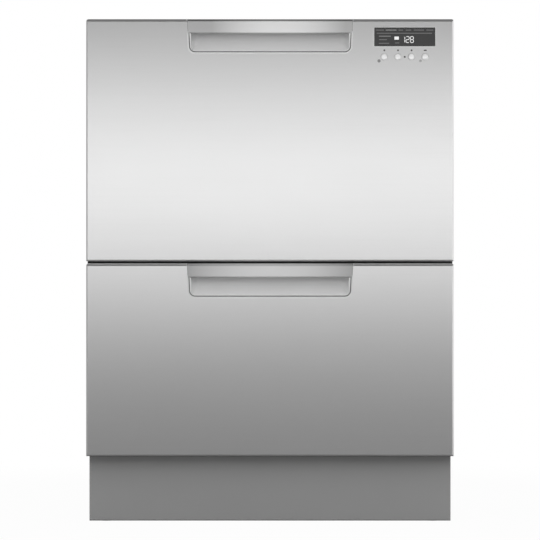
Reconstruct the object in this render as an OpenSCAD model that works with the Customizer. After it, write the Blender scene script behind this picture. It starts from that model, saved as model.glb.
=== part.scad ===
// Built-in dishwasher with two wash drawers, one above the other, in one steel cabinet.
// Origin: middle of the footprint at floor level. +Z is up and the drawer fronts face -Y.

/* [Product] */
// Width over the drawer fronts
product_w = 599; // [590:1:620]
// Depth from the face of the fronts to the rear edge of the side panels
product_d = 573; // [565:1:620]
// Height from the floor to the top edge of the upper front
product_h = 820; // [810:1:860]

/* [Fronts] */
// Depth of a drawer front, from its face to its back plate
front_t = 30; // [29:1:34]
// Height of the lower drawer front
lower_front_h = 314; // [306:1:330]
// Gap between the two drawer fronts
front_gap = 3.6; // [2:0.2:6]
// Thickness of the stainless skin
skin_t = 1; // [0.8:0.1:1.4]
// Bevel along the sides and the bottom of a skin
edge_bevel = 2.4; // [1.6:0.2:4]
// Height of the bevel along the top edge of a skin
top_bevel = 4.2; // [3:0.2:6]
// Radius of the top corners of a skin
skin_corner_r = 4; // [2:0.5:8]
// Thickness of the moulded back plate and its ribs
inner_t = 2; // [1.6:0.2:3]

/* [Handles] */
// Width of the handle opening at the top edge of the front
pocket_top_w = 269; // [220:1:290]
// Width of the handle opening at its bottom edge
pocket_bottom_w = 265; // [216:1:286]
// Height of the handle opening
pocket_h = 55; // [50:1:62]
// Radius of the lower corners of the handle opening
pocket_r = 11; // [8:1:16]
// Depth of the hollow behind the grip
pocket_d = 25; // [20:1:26]
// Wall of the handle moulding
scoop_wall = 1.8; // [1.4:0.2:2.4]
// Width of the raised rim around the hollow
scoop_rim = 3.2; // [2.4:0.2:5]
// Gap between the skin and the handle moulding
pocket_gap = 1.1; // [0.6:0.1:1.6]
// Height of the visible grip bar
grip_h = 18.6; // [15:0.2:22]
// Sheet thickness of the grip bar
grip_t = 1.5; // [1:0.1:2]
// How far the lower edge of the grip is folded back
grip_fold = 7; // [5:0.5:9]

/* [Controls] */
// Width of the display window
display_w = 100.4; // [80:0.2:104]
// Height of the display window
display_h = 31.4; // [26:0.2:34]
// Distance of the display window from the right edge of the front
display_margin = 29.8; // [28:0.2:36]
// Distance of the display centre below the top edge
display_drop = 29; // [26:0.5:32]
// Thickness of the display window
display_t = 2.5; // [2:0.1:3]
// Radius of a button cap
button_r = 5.4; // [4.5:0.1:6]
// Distance between neighbouring buttons
button_pitch = 22.2; // [20:0.2:22.6]
// Distance of the button row below the top edge
button_drop = 61.4; // [59:0.2:64]
// Travel of a button
button_travel = 1; // [0.8:0.1:1.4]

/* [Cabinet] */
// How far the fronts stand out past the cabinet at each side
front_overhang = 4; // [3:0.5:5]
// Sheet thickness of the cabinet
sheet_t = 1; // [0.8:0.1:1.2]
// Length of the hem along the front edge of a side panel
hem_l = 12; // [10:1:16]
// How far the back panel sits inside the rear edge of the side panels
back_recess = 20; // [18:1:24]
// Height of the kick strip
kick_h = 107; // [100:1:112]
// Height of the pan floor above the room floor
pan_z = 88; // [84:1:92]
// Height of the section between the two bays
divider_h = 16; // [14:1:18]
// How far the divider starts below the top of the lower front
divider_drop = 10; // [8:1:12]
// How far the cabinet top lies below the top of the upper front
top_drop = 3; // [2.6:0.1:4]
// Radius of a fixing hole
fixing_r = 2.5; // [2:0.25:3]

/* [Feet] */
// Radius of a foot pad
foot_pad_r = 19; // [14:1:22]
// Radius of the threaded stem of a foot
foot_stem_r = 5; // [4:0.5:6]
// Radial clearance of the stem in its sleeve
foot_fit = 0.08; // [0.04:0.01:0.1]
// Height that a foot can be screwed out
foot_travel = 60; // [40:1:60]

/* [Runners] */
// Height of the fixed runner member
rail_h = 38; // [34:1:40]
// Distance of the rear end of the runners from the back panel
rail_back_gap = 15; // [12:1:36]
// Sheet thickness of the runner members
rail_t = 1.2; // [1:0.1:1.4]
// Running clearance between two members
rail_run = 0.6; // [0.4:0.1:0.8]
// Stand-off of the fixed member from the side panel
rail_standoff = 1.5; // [1.2:0.1:2]
// Width of the shelf that carries the tub
shelf_w = 26; // [20:1:30]

/* [Tub] */
// Wall thickness of the tub
tub_wall = 3; // [2.4:0.2:4]
// Distance of the tub wall, at its rim, from the outside of the cabinet
tub_side_gap = 33.5; // [31.5:0.5:37.5]
// How much narrower the tub is at its floor, on each side
tub_draft = 10; // [6:1:14]
// Room behind the tub for its hoses and cables
tub_back_gap = 39; // [34:1:52]
// Radius of the upright corners of the tub
tub_corner_r = 46; // [36:1:60]
// Radius between the floor and the walls
tub_floor_r = 24; // [16:1:30]
// Width of the rim flange
rim_w = 6; // [4:1:7]
// Radius of the round sump under the filter
sump_r = 72; // [64:1:80]
// Depth of the sump below the tub floor
sump_d = 14; // [10:1:16]

/* [Lids] */
// Height of a lid moulding
lid_h = 16; // [14:1:18]
// Thickness of the lid skin
lid_skin = 2.5; // [2:0.1:3]
// Height of the lid seal
seal_h = 6; // [5:0.5:8]
// Width of the lid seal
seal_w = 10; // [8:1:12]
// Distance that a lid drops onto its tub
lid_travel = 9.7; // [8:0.1:10]
// Radius of a lid guide pin
lid_pin_r = 4; // [3:0.5:5]
// Distance between the two guide pins on one side of a lid
lid_pin_gap = 300; // [240:5:340]

/* [Wash parts] */
// Radius of the filter plate
filter_r = 100; // [90:1:120]
// Length of one spray arm, from its hub to its tip
arm_l = 205; // [150:1:215]
// Radius of the post that the spray arm turns on
post_r = 9; // [7:0.5:11]
// Radial clearance of the spray arm on its post
post_fit = 0.08; // [0.04:0.01:0.1]
// Height of the spray arm at its hub
arm_h = 16; // [12:1:18]

/* [Racks] */
// Distance of a rack side from the tub wall at the rim
rack_side_gap = 32; // [28:1:50]
// Distance of the rack front from the front wall of the tub
rack_front_gap = 30; // [26:1:36]
// Distance of the rack back from the rear wall of the tub
rack_back_gap = 26; // [20:1:32]
// Height of the rack floor above the tub floor
rack_lift = 46; // [44:1:50]
// Diameter of a floor or side wire
wire_d = 4; // [3:0.2:5]
// Largest distance between neighbouring floor wires
wire_pitch = 42; // [36:1:50]
// Distance of the rack sides below the tub rim
side_drop = 34; // [26:1:44]
// Distance of the rack front and back rails below the tub rim
front_drop = 96; // [92:1:104]
// Height of a tine
tine_h = 66; // [50:1:68]
// Diameter of a tine
tine_d = 3.2; // [2.6:0.2:4]
// Distance between neighbouring tines
tine_pitch = 32; // [26:1:40]

/* [Rack fittings] */
// Width of the cup shelf, from its hinge to its edge
shelf_reach = 84; // [60:1:84]
// Length of the cup shelf
shelf_l = 300; // [200:1:320]
// Distance of the cup shelf hinge below the rim
shelf_drop = 98; // [94:1:104]
// Width of the cutlery basket
basket_w = 84; // [60:1:90]
// Length of the cutlery basket
basket_l = 180; // [120:1:220]
// Height of the cutlery basket
basket_h = 104; // [70:1:108]
// Wall of the cutlery basket
basket_wall = 2; // [1.6:0.2:3]
// Width of the detergent dispenser
dispenser_w = 124; // [110:1:150]
// Height of the detergent dispenser
dispenser_h = 64; // [56:1:66]
// How far the dispenser stands out from the front wall
dispenser_t = 16; // [12:1:18]
// Height of the dispenser door
door_h = 44; // [34:1:46]

/* [Connections] */
// Distance of the outer connections from the sides of the cabinet
connection_inset = 105.5; // [90:0.5:120]
// Distance of the mains gland from the drain outlet
gland_gap = 80; // [60:1:100]
// Radius of the water inlet thread
inlet_r = 13.2; // [12:0.1:14]
// Radius of the drain spigot
drain_r = 9.5; // [8:0.5:11]
// Height of the connections above the floor
connection_z = 150; // [140:1:170]

/* [Hidden] */

LOWER = 0;
UPPER = 1;
LEFT = -1;
RIGHT = 1;

// Clearances: between pieces that move past each other, and a cut's reach past a surface
clear = 0.3;
cut = 1;

// Colours
steel = [0.78, 0.78, 0.77];
bright_steel = [0.83, 0.83, 0.82];
zinc = [0.66, 0.68, 0.7];
grey_plastic = [0.55, 0.56, 0.58];
tub_grey = [0.62, 0.64, 0.66];
white_plastic = [0.9, 0.9, 0.88];
rack_grey = [0.45, 0.47, 0.52];
rubber = [0.13, 0.13, 0.14];
glass = [0.12, 0.12, 0.13];
board_green = [0.1, 0.32, 0.2];

// Main planes of the product, front to back
front_y = -product_d / 2;
rear_y = product_d / 2;
front_back_y = front_y + front_t;
trim_t = 3.7;
cab_front_y = front_back_y + clear + trim_t;
back_y = rear_y - back_recess;

// Widths
front_hw = product_w / 2;
cab_hw = front_hw - front_overhang;
cab_in = cab_hw - sheet_t;

// Heights of the fronts
kick_reveal = 1;
front_z = [kick_h + kick_reveal, kick_h + kick_reveal + lower_front_h + front_gap];
front_top = [kick_h + kick_reveal + lower_front_h, product_h];
cab_top = product_h - top_drop;
cab_bottom = pan_z - 4;

// Each bay reaches from its runners to the underside of what closes it
bay_clear = 4;
lid_headroom = 2;
divider_z = front_top[LOWER] - divider_drop;
bay_z = [kick_h + bay_clear + 1, divider_z + divider_h + bay_clear];
bay_top = [divider_z, cab_top - sheet_t - lid_headroom];
rail_z = [bay_z[LOWER] + rail_h / 2, bay_z[UPPER] + rail_h / 2];

// The tub stands on the drawer members, and the lid closes down on its rim
shelf_rise = 4;
tub_z = [rail_z[LOWER] + rail_h / 2 + shelf_rise, rail_z[UPPER] + rail_h / 2 + shelf_rise];
lid_z = [bay_top[LOWER] - lid_headroom - lid_h, bay_top[UPPER] - lid_headroom - lid_h];
rim_z = [for (b = [LOWER, UPPER]) lid_z[b] - seal_h - lid_travel - clear];
floor_z = [for (b = [LOWER, UPPER]) tub_z[b] + tub_wall];
tub_front_y = front_back_y;
tub_back_y = back_y - tub_back_gap;
tub_depth = tub_back_y - tub_front_y;
tub_rim_hw = cab_hw - tub_side_gap;
flange_hw = tub_rim_hw + rim_w;
tub_mid_y = (tub_front_y + tub_back_y) / 2;

// ---------- Helpers for outlines ----------

function unit(v) = v / norm(v);
function heading(v) = atan2(v[1], v[0]);
function turned(a, b) = (b - a + 540) % 360 - 180;

// The arc of radius r that replaces corner b of the path a-b-c, in steps of about 9 degrees
function corner_arc(a, b, c, r) =
    let (
        u = unit(a - b),
        v = unit(c - b),
        half = acos(max(-1, min(1, u * v))) / 2,
        centre = b + unit(u + v) * r / sin(half),
        from = heading(b + u * r / tan(half) - centre),
        sweep = turned(from, heading(b + v * r / tan(half) - centre)),
        steps = max(2, ceil(abs(sweep) / 9))
    )
    [for (i = [0 : steps]) centre + r * [cos(from + sweep * i / steps), sin(from + sweep * i / steps)]];

// A closed outline with each corner rounded by its own radius, where 0 stays sharp
function rounded(points, radii) = [
    for (i = [0 : len(points) - 1])
        let (
            n = len(points),
            bend = radii[i] > 0
                ? corner_arc(points[(i + n - 1) % n], points[i], points[(i + 1) % n], radii[i])
                : [points[i]]
        )
        each bend
];

// An open path with every inner corner rounded by r
function bent(path, r) = [
    for (i = [0 : len(path) - 1])
        each (i == 0 || i == len(path) - 1 || r == 0
            ? [path[i]]
            : corner_arc(path[i - 1], path[i], path[i + 1], r))
];

function left_of(v) = [-v[1], v[0]];
function reversed(path) = [for (i = [len(path) - 1 : -1 : 0]) path[i]];

// The direction from a path point to its copy on the other face of the sheet
function mitre(path, i) =
    let (
        n = len(path),
        before = i == 0 ? left_of(unit(path[1] - path[0])) : left_of(unit(path[i] - path[i - 1])),
        after = i == n - 1 ? before : left_of(unit(path[i + 1] - path[i])),
        middle = unit(before + after)
    )
    middle / (middle * before);

// A sheet of thickness t laid on the left of a path
function sheet(path, t) = concat(
    path,
    [for (i = [len(path) - 1 : -1 : 0]) path[i] + t * mitre(path, i)]
);

function rectangle(a0, a1, b0, b1) = [[a0, b0], [a1, b0], [a1, b1], [a0, b1]];
function round_rectangle(a0, a1, b0, b1, r) = rounded(rectangle(a0, a1, b0, b1), [r, r, r, r]);

// ---------- Helpers for solids ----------

// Outlines drawn in (y, z), (x, z) and (x, y), carried along the third axis
module along_x(x0, x1) {
    translate([x0, 0, 0]) rotate([90, 0, 90]) linear_extrude(x1 - x0) children();
}

module along_y(y0, y1) {
    translate([0, y1, 0]) rotate([90, 0, 0]) linear_extrude(y1 - y0) children();
}

module along_z(z0, z1) {
    translate([0, 0, z0]) linear_extrude(z1 - z0) children();
}

module block(x0, x1, y0, y1, z0, z1) {
    translate([x0, y0, z0]) cube([x1 - x0, y1 - y0, z1 - z0]);
}

// A round bar from y0 to y1
module bar_y(x, z, r, y0, y1) {
    translate([x, y1, z]) rotate([90, 0, 0]) cylinder(r = r, h = y1 - y0, $fn = 48);
}

// A round bar from x0 to x1
module bar_x(y, z, r, x0, x1) {
    translate([x0, y, z]) rotate([0, 90, 0]) cylinder(r = r, h = x1 - x0, $fn = 32);
}

// An upright round bar from z0 to z1
module bar_z(x, y, r, z0, z1) {
    translate([x, y, z0]) cylinder(r = r, h = z1 - z0, $fn = 48);
}

// Both sides of the product
module both_sides() {
    children();
    mirror([1, 0, 0]) children();
}

// A ring of points: a rectangle with round corners at height z
corner_steps = 7;
function ring(z, hw, y0, y1, r) = [
    for (q = [0 : 3])
        let (cx = (q == 0 || q == 3 ? 1 : -1) * (hw - r), cy = q < 2 ? y1 - r : y0 + r)
        for (i = [0 : corner_steps])
            let (a = 90 * (q + i / corner_steps))
            [cx + r * cos(a), cy + r * sin(a), z]
];

// A closed skin through rings of equal count, listed from the bottom up
module loft(rings) {
    n = len(rings[0]);
    last = len(rings) - 1;
    faces = concat(
        [[for (i = [0 : n - 1]) i]],
        [for (k = [0 : last - 1]) for (i = [0 : n - 1])
            let (j = (i + 1) % n)
            each [[k * n + i, (k + 1) * n + i, (k + 1) * n + j], [k * n + i, (k + 1) * n + j, k * n + j]]],
        [[for (i = [n - 1 : -1 : 0]) last * n + i]]
    );
    polyhedron(points = [for (r = rings) each r], faces = faces);
}

// ---------- Drawer fronts ----------

// How far the top bevel reaches back for each millimetre of its height
bevel_run = 0.7;

// A bevel at 45 degrees gets shorter by this share of the inset
bevel_shrink = 2 - sqrt(2);

// The outside form of a front, or with an inset the form of its hollow
module front_form(b, inset) {
    hw = front_hw - inset;
    y = front_y + inset;
    z0 = front_z[b] + inset;
    z1 = front_top[b] - inset;
    side = edge_bevel - bevel_shrink * inset;
    top = top_bevel - bevel_shrink * inset;
    top_run = top * bevel_run;
    open_y = front_back_y + (inset > 0 ? cut : 0);
    corner = max(skin_corner_r - inset, 0.4);
    intersection() {
        along_y(y, open_y)
            polygon(rounded(rectangle(-hw, hw, z0, z1), [0, 0, corner, corner]));
        along_x(-hw, hw)
            polygon([
                [y, z0 + side], [y + side, z0], [open_y, z0],
                [open_y, z1], [y + top_run, z1], [y, z1 - top]
            ]);
        along_z(z0, z1)
            polygon([
                [-hw + side, y], [hw - side, y], [hw, y + side],
                [hw, open_y], [-hw, open_y], [-hw, y + side]
            ]);
    }
}

// The handle opening, grown by a gap, and reaching up to height top
function pocket_outline(b, grow, top) =
    let (
        z0 = front_top[b] - pocket_h - grow,
        lower = pocket_bottom_w / 2 + grow,
        upper = pocket_top_w / 2 + grow,
        r = pocket_r + grow
    )
    rounded([[-lower, z0], [lower, z0], [upper, top], [-upper, top]], [r, r, 0, 0]);

display_x = front_hw - display_margin - display_w / 2;
display_z = front_top[UPPER] - display_drop;
button_z = front_top[UPPER] - button_drop;
button_x = [for (i = [0 : 3]) display_x + (i - 1.5) * button_pitch];
display_round = 1.6;
module_margin = 13;
module_drop = button_drop + module_margin;

function display_outline(grow) = round_rectangle(
    display_x - display_w / 2 - grow, display_x + display_w / 2 + grow,
    display_z - display_h / 2 - grow, display_z + display_h / 2 + grow, display_round + grow
);

module front_skin(b) {
    color(steel)
    difference() {
        front_form(b, 0);
        front_form(b, skin_t);
        along_y(front_y - cut, front_back_y + cut)
            polygon(pocket_outline(b, pocket_gap, front_top[b] + cut));
        if (b == UPPER) {
            along_y(front_y - cut, front_y + 2 * cut) polygon(display_outline(clear));
            for (x = button_x) {
                bar_y(x, button_z, button_r + clear, front_y - cut, front_y + 2 * cut);
            }
        }
    }
}

rib_d = 14;
skin_fit = 0.2;
rib_columns = 6;
rib_rows = 4;
module inner_front(b) {
    fit = skin_t + skin_fit;
    hw = front_hw - fit;
    z0 = front_z[b] + fit;
    z1 = front_top[b] - fit;
    rib_top = front_top[b] - (b == UPPER ? module_drop : pocket_h) - 12;
    rib_y = front_back_y - rib_d;
    inside = hw - inner_t;
    color(grey_plastic)
    difference() {
        union() {
            along_y(front_back_y - inner_t, front_back_y)
                polygon(rounded(rectangle(-hw, hw, z0, z1), [0, 0, 3, 3]));
            difference() {
                along_y(rib_y, front_back_y)
                    polygon(rounded(rectangle(-hw, hw, z0, z1), [0, 0, 3, 3]));
                along_y(rib_y - cut, front_back_y + cut)
                    polygon(rectangle(-inside, inside, z0 + inner_t, z1 - inner_t));
            }
            for (i = [1 : rib_columns - 1]) {
                x = -hw + 2 * hw * i / rib_columns;
                block(x - inner_t / 2, x + inner_t / 2, rib_y, front_back_y, z0, rib_top);
            }
            for (j = [1 : rib_rows]) {
                z = z0 + (rib_top - z0) * j / rib_rows;
                block(-hw, hw, rib_y, front_back_y, z - inner_t, z);
            }
        }
        // Room for the handle moulding where it passes through the upper edge
        along_y(rib_y - cut, front_back_y - inner_t)
            polygon(pocket_outline(b, pocket_gap, front_top[b] + cut));
    }
}

grip_z = [for (b = [LOWER, UPPER]) front_top[b] - top_bevel - grip_h];

// The hollow that the fingers reach into: a curved floor swept up to a back wall behind the grip
module scoop_hollow(b, wall, front) {
    z0 = front_top[b] - pocket_h + wall;
    z1 = front_top[b] - grip_t - wall;
    back = front_y + pocket_d - wall;
    hw = pocket_bottom_w / 2 - wall;
    floor_sweep = 18 - wall / 2;
    intersection() {
        along_x(-hw - 10, hw + 10)
            polygon(rounded(
                [[front, z0], [back, z0 + 5], [back, z1], [front, z1]],
                [0, floor_sweep, 4, 0]
            ));
        along_z(z0 - 1, z1 + 1)
            polygon(rounded(
                [[-hw, front], [hw, front], [hw - 4, back], [4 - hw, back]],
                [0, 0, 17 - wall / 2, 17 - wall / 2]
            ));
        along_y(front, back)
            polygon(pocket_outline(b, -wall, front_top[b]));
    }
}

// The rim of the moulding lies a little behind the skin's face, and its flange behind the skin
scoop_set_back = 0.6;
scoop_flange = 5;
scoop_post_r = 5;
scoop_post_x = [-96, -32, 32, 96];
module handle_scoop(b) {
    face = front_y + scoop_set_back;
    post_z = front_top[b] - pocket_h / 2;
    post_y = front_y + pocket_d - scoop_wall;
    color(grey_plastic)
    difference() {
        union() {
            scoop_hollow(b, 0, face);
            along_y(face, face + scoop_wall)
                polygon(pocket_outline(b, 0, front_top[b] - grip_t));
            // Flange that clamps the moulding behind the skin
            along_y(front_y + skin_t, front_y + skin_t + scoop_wall)
                polygon(pocket_outline(b, scoop_flange, front_top[b] - top_bevel - scoop_flange));
            // Screw posts on the back plate
            for (x = scoop_post_x) {
                bar_y(x, post_z, scoop_post_r, post_y, front_back_y - inner_t);
            }
        }
        scoop_hollow(b, scoop_rim, front_y - cut);
        scoop_hollow(b, scoop_wall, face + scoop_wall);
        // Seat of the grip bar
        block(
            -pocket_top_w, pocket_top_w, front_y - cut, front_y + grip_t,
            grip_z[b] - clear, product_h + cut
        );
        block(
            -pocket_top_w, pocket_top_w, front_y - cut, front_y + grip_fold + clear,
            grip_z[b] - clear, grip_z[b] + grip_hook + clear
        );
        block(
            -pocket_top_w, pocket_top_w, front_y - cut, front_y + top_bevel,
            front_top[b] - top_bevel - grip_t, product_h + cut
        );
    }
}

grip_hook = 4.5;
grip_bend_r = 1.6;
module grip_bar(b) {
    top = front_top[b];
    path = bent([
        [front_y + grip_fold, grip_z[b] + grip_hook],
        [front_y + grip_fold, grip_z[b]],
        [front_y, grip_z[b]],
        [front_y, top - top_bevel],
        [front_y + top_bevel * bevel_run, top],
        [front_y + pocket_d, top]
    ], grip_bend_r);
    color(bright_steel)
    intersection() {
        along_x(-pocket_top_w / 2, pocket_top_w / 2) polygon(sheet(reversed(path), grip_t));
        along_y(front_y - cut, front_y + pocket_d + cut) polygon(pocket_outline(b, 0, top + cut));
    }
}

// ---------- Controls ----------

display_lip = 3;
module display_window() {
    color(glass)
    union() {
        along_y(front_y + clear, front_y + display_t) polygon(display_outline(0));
        along_y(front_y + skin_t, front_y + display_t) polygon(display_outline(display_lip));
    }
}

// The moulding that guides the buttons: how deep its guides are, and its floor and board
guide_bottom = 6;
guide_floor = 2;
board_t = 1.6;
board_y = front_y + guide_bottom + guide_floor;
parts_y = board_y + board_t - 0.6;
collar_r = button_r + 1.2;
button_stem_r = 2;
module control_module() {
    z0 = button_z - module_margin;
    z1 = display_z + display_h / 2 + 7;
    x0 = display_x - display_w / 2 - 8;
    x1 = display_x + display_w / 2 + 8;
    face = front_y + skin_t;
    color(white_plastic)
    difference() {
        union() {
            along_y(face, board_y) polygon(round_rectangle(x0, x1, z0, z1, 4));
            // Circuit board with a transformer, a chip, a connector and a capacitor
            along_y(board_y, board_y + board_t) polygon(rectangle(x0 + 4, x1 - 4, z0 + 3, z1 - 3));
            block(x0 + 12, x0 + 34, parts_y, parts_y + 9, z1 - 32, z1 - 12);
            block(x0 + 44, x0 + 60, parts_y, parts_y + 4, z1 - 36, z1 - 20);
            block(x1 - 34, x1 - 14, parts_y, parts_y + 11, z0 + 10, z0 + 22);
            bar_y(x1 - 26, z1 - 24, 6, parts_y, parts_y + 12);
        }
        // Seat of the display window
        along_y(face - cut, front_y + display_t) polygon(display_outline(display_lip + clear));
        along_y(face - cut, front_y + guide_bottom) polygon(display_outline(-4));
        for (x = button_x) {
            bar_y(x, button_z, collar_r + clear, face - cut, front_y + guide_bottom);
            bar_y(x, button_z, button_stem_r + clear, face, board_y);
        }
    }
}

// A domed cap, a collar that rests behind the skin, and a stem that ends one travel above the board
module button(i) {
    dome = 0.8;
    collar_y = skin_t + clear;
    collar_end = collar_y + 1.4;
    stem_end = guide_bottom + guide_floor - button_travel - 0.1;
    profile = [
        [0, 0], [button_r * 0.5, dome * 0.15], [button_r - 0.7, dome * 0.6], [button_r, dome * 1.6],
        [button_r, collar_y], [collar_r, collar_y], [collar_r, collar_end],
        [button_stem_r, collar_end], [button_stem_r, stem_end], [0, stem_end]
    ];
    color(bright_steel)
    translate([button_x[i], front_y, button_z])
        rotate([-90, 0, 0])
            rotate_extrude($fn = 48) polygon(profile);
}

// ---------- Cabinet ----------

bead_d = 1.4;
bead_w = 22;

// The trim clips over the hems of the side panels, and its lips reach trim_lip past them
trim_lip = 1;
hem_in = cab_hw - 2 * sheet_t;
trim_in = hem_in - trim_lip;

// Points of a bead pressed into a sheet around position a
function bead(a, depth) = [
    [a - bead_w / 2, 0], [a - bead_w / 2 + 4, depth], [a + bead_w / 2 - 4, depth], [a + bead_w / 2, 0]
];

// The side panels and the top have three beads along the depth, spread over the tub
bead_pitch = tub_depth * 0.28;
depth_beads = [tub_mid_y - bead_pitch, tub_mid_y, tub_mid_y + bead_pitch];

side_fix_z = [240, 560];
side_fix_y = cab_front_y + hem_l / 2;
module side_panel(side) {
    flange = 14;
    outside = concat(
        [[cab_hw, cab_front_y]],
        [for (c = depth_beads) each [for (p = bead(c, bead_d)) [cab_hw + p[1], p[0]]]],
        [[cab_hw, rear_y], [cab_hw - flange, rear_y]]
    );
    color(zinc)
    mirror([side == LEFT ? 1 : 0, 0, 0])
    difference() {
        union() {
            along_z(cab_bottom, cab_top) polygon(sheet(outside, sheet_t));
            // Hem along the front edge
            block(cab_in - sheet_t, cab_in, cab_front_y, cab_front_y + hem_l, cab_bottom, cab_top);
            // Folded flange that carries the top panel, and the one under the pan
            for (z = [cab_top - 2 * sheet_t, cab_bottom]) {
                block(cab_in - flange, cab_in, cab_front_y + hem_l, back_y - 3 * sheet_t, z, z + sheet_t);
            }
        }
        for (z = side_fix_z) {
            bar_x(side_fix_y, z, fixing_r, cab_in - 2 * sheet_t - cut, cab_hw + cut);
        }
    }
}

bracket_x = 200;
bracket_w = 32;
bracket_l = 46;
bracket_t = 1.5;
bracket_y0 = cab_front_y + 2;
bracket_hole_inset = 12;
bracket_hole_y = bracket_y0 + bracket_hole_inset;
module top_panel() {
    fold = 12;
    under = concat(
        [[cab_front_y, cab_top - fold], [cab_front_y, cab_top]],
        [for (c = depth_beads) each [for (p = bead(c, bead_d)) [p[0], cab_top + p[1]]]],
        [[back_y - sheet_t, cab_top], [back_y - sheet_t, cab_top - fold]]
    );
    color(zinc)
    difference() {
        along_x(-trim_in, trim_in) polygon(sheet(reversed(under), sheet_t));
        // Wider holes under the brackets, for the heads of their screws
        both_sides() bar_z(bracket_x, bracket_hole_y, 2 * fixing_r, cab_top - 2 * sheet_t, cab_top + cut);
    }
}

valve_x = cab_hw - connection_inset;
drain_x = -valve_x;
gland_x = drain_x + gland_gap;
gland_r = 8;
// Distances of the lowest bead from the connections and of the highest from the top
bead_low_gap = 110;
bead_high_gap = 107;
module back_panel() {
    bead_z0 = connection_z + bead_low_gap;
    bead_z1 = cab_top - bead_high_gap;
    beads = [for (i = [0 : 5]) bead_z0 + i * (bead_z1 - bead_z0) / 5];
    path = concat(
        [[back_y - sheet_t, cab_bottom]],
        [for (c = beads) each [for (p = bead(c, 4)) [back_y - sheet_t + p[1], p[0]]]],
        [[back_y - sheet_t, cab_top - sheet_t]]
    );
    color(zinc)
    difference() {
        along_x(-cab_in, cab_in) polygon(sheet(reversed(path), sheet_t));
        for (hole = [[valve_x, inlet_r], [drain_x, drain_r], [gland_x, gland_r]]) {
            bar_y(hole[0], connection_z, hole[1] + clear, back_y - sheet_t - cut, back_y + cut);
        }
    }
}

foot_x = cab_hw - 28;
foot_y = [cab_front_y + 28, back_y - 32];
sleeve_wall = 4;
sleeve_z = 60;
sleeve_top = kick_h + 1;
module base_pan() {
    y0 = cab_front_y;
    y1 = back_y - sheet_t;
    wall_top = kick_h - 3;
    wall = 2;
    rib_t = 2;
    rib_h = 10;
    // Ribs on either side of the middle one
    pan_ribs = 2;
    pan_rib_pitch = 100;
    gusset_in = foot_stem_r + 2;
    gusset_out = 15;
    gusset = [
        [gusset_in, sleeve_z + 4], [gusset_in, pan_z + 1],
        [gusset_out, pan_z + 1], [gusset_out, pan_z - 4]
    ];
    color(grey_plastic)
    difference() {
        union() {
            block(-cab_in, cab_in, y0 + hem_l, y1, pan_z, pan_z + wall);
            block(-cab_in + sheet_t, cab_in - sheet_t, y0, y0 + hem_l, pan_z, pan_z + wall);
            // Upstand around the pan
            block(-cab_in + sheet_t, cab_in - sheet_t, y0, y0 + wall, cab_bottom, wall_top);
            block(-cab_in, cab_in, y1 - wall, y1, pan_z, wall_top);
            both_sides() block(cab_in - wall, cab_in, y0 + hem_l, y1, pan_z, wall_top);
            // Stiffening ribs under the floor
            for (x = [for (i = [-pan_ribs : pan_ribs]) i * pan_rib_pitch]) {
                block(x - rib_t / 2, x + rib_t / 2, y0 + hem_l, y1, pan_z - rib_h, pan_z);
            }
            for (y = foot_y) {
                both_sides() {
                    bar_z(foot_x, y, foot_stem_r + sleeve_wall, sleeve_z, sleeve_top);
                    for (a = [45 : 90 : 315]) {
                        translate([foot_x, y, 0])
                            rotate([0, 0, a])
                                along_y(-rib_t / 2, rib_t / 2) polygon(gusset);
                    }
                }
            }
        }
        for (y = foot_y) {
            both_sides() bar_z(foot_x, y, foot_stem_r + foot_fit, sleeve_z - cut, sleeve_top + cut);
        }
        // Shallow channel where leaks collect
        block(-60, 60, y1 - 90, y1 - 40, pan_z + 1, pan_z + wall + cut);
    }
}

module foot(side, row) {
    stem_top = sleeve_z + foot_travel + 22;
    profile = [
        [0, 0], [foot_pad_r - 1.5, 0], [foot_pad_r, 1.5], [foot_pad_r, 4], [12, 7], [9, 14],
        [foot_stem_r, 14], [foot_stem_r, stem_top - 1], [foot_stem_r - 1, stem_top], [0, stem_top]
    ];
    color(rubber)
    translate([side * foot_x, foot_y[row], 0])
    union() {
        rotate_extrude($fn = 48) polygon(profile);
        translate([0, 0, 14]) cylinder(r = 10, h = 8, $fn = 6);
    }
}

module bay_divider() {
    path = bent([
        [cab_front_y + 38, divider_z],
        [cab_front_y, divider_z],
        [cab_front_y, divider_z + divider_h],
        [cab_front_y + 26, divider_z + divider_h],
        [cab_front_y + 34, divider_z + divider_h - 8],
        [back_y - sheet_t, divider_z + divider_h - 8]
    ], 1.8);
    color(zinc)
    along_x(-trim_in, trim_in) polygon(sheet(reversed(path), sheet_t));
}

module front_trim() {
    y0 = front_back_y + clear;
    grip_y = cab_front_y + 8;
    fin = front_hw - 1;
    fin_t = 1.6;
    top = product_h - 0.6;
    color(rubber)
    union() {
        both_sides()
            along_z(front_z[LOWER], cab_top)
                polygon([
                    [trim_in, y0], [fin, y0], [fin, y0 + fin_t], [cab_hw + trim_lip, y0 + 2 * fin_t],
                    [cab_hw + trim_lip, grip_y], [cab_hw, grip_y], [cab_hw, cab_front_y],
                    [hem_in, cab_front_y], [hem_in, grip_y], [trim_in, grip_y]
                ]);
        along_x(-fin, fin)
            polygon([
                [y0, cab_top - 12], [y0, top], [y0 + fin_t, top],
                [cab_front_y, cab_top], [cab_front_y, cab_top - 12]
            ]);
    }
}

kick_t = 1.2;
module kick_strip() {
    y = front_back_y;
    lift = 1;
    profile = bent([
        [y + 8, lift], [y, lift], [y, kick_h], [cab_front_y - clear, kick_h]
    ], 2);
    color(grey_plastic)
    union() {
        along_x(-cab_hw, cab_hw) polygon(sheet(reversed(profile), kick_t));
        both_sides() {
            block(cab_hw - kick_t, cab_hw, y + kick_t / 2, cab_front_y - clear, lift + 2, kick_h - 2);
            // Clip that hooks onto the front edge of the pan
            block(cab_hw - 90, cab_hw - 60, y + kick_t / 2, cab_front_y, pan_z - 2, pan_z + 8);
        }
    }
}

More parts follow.
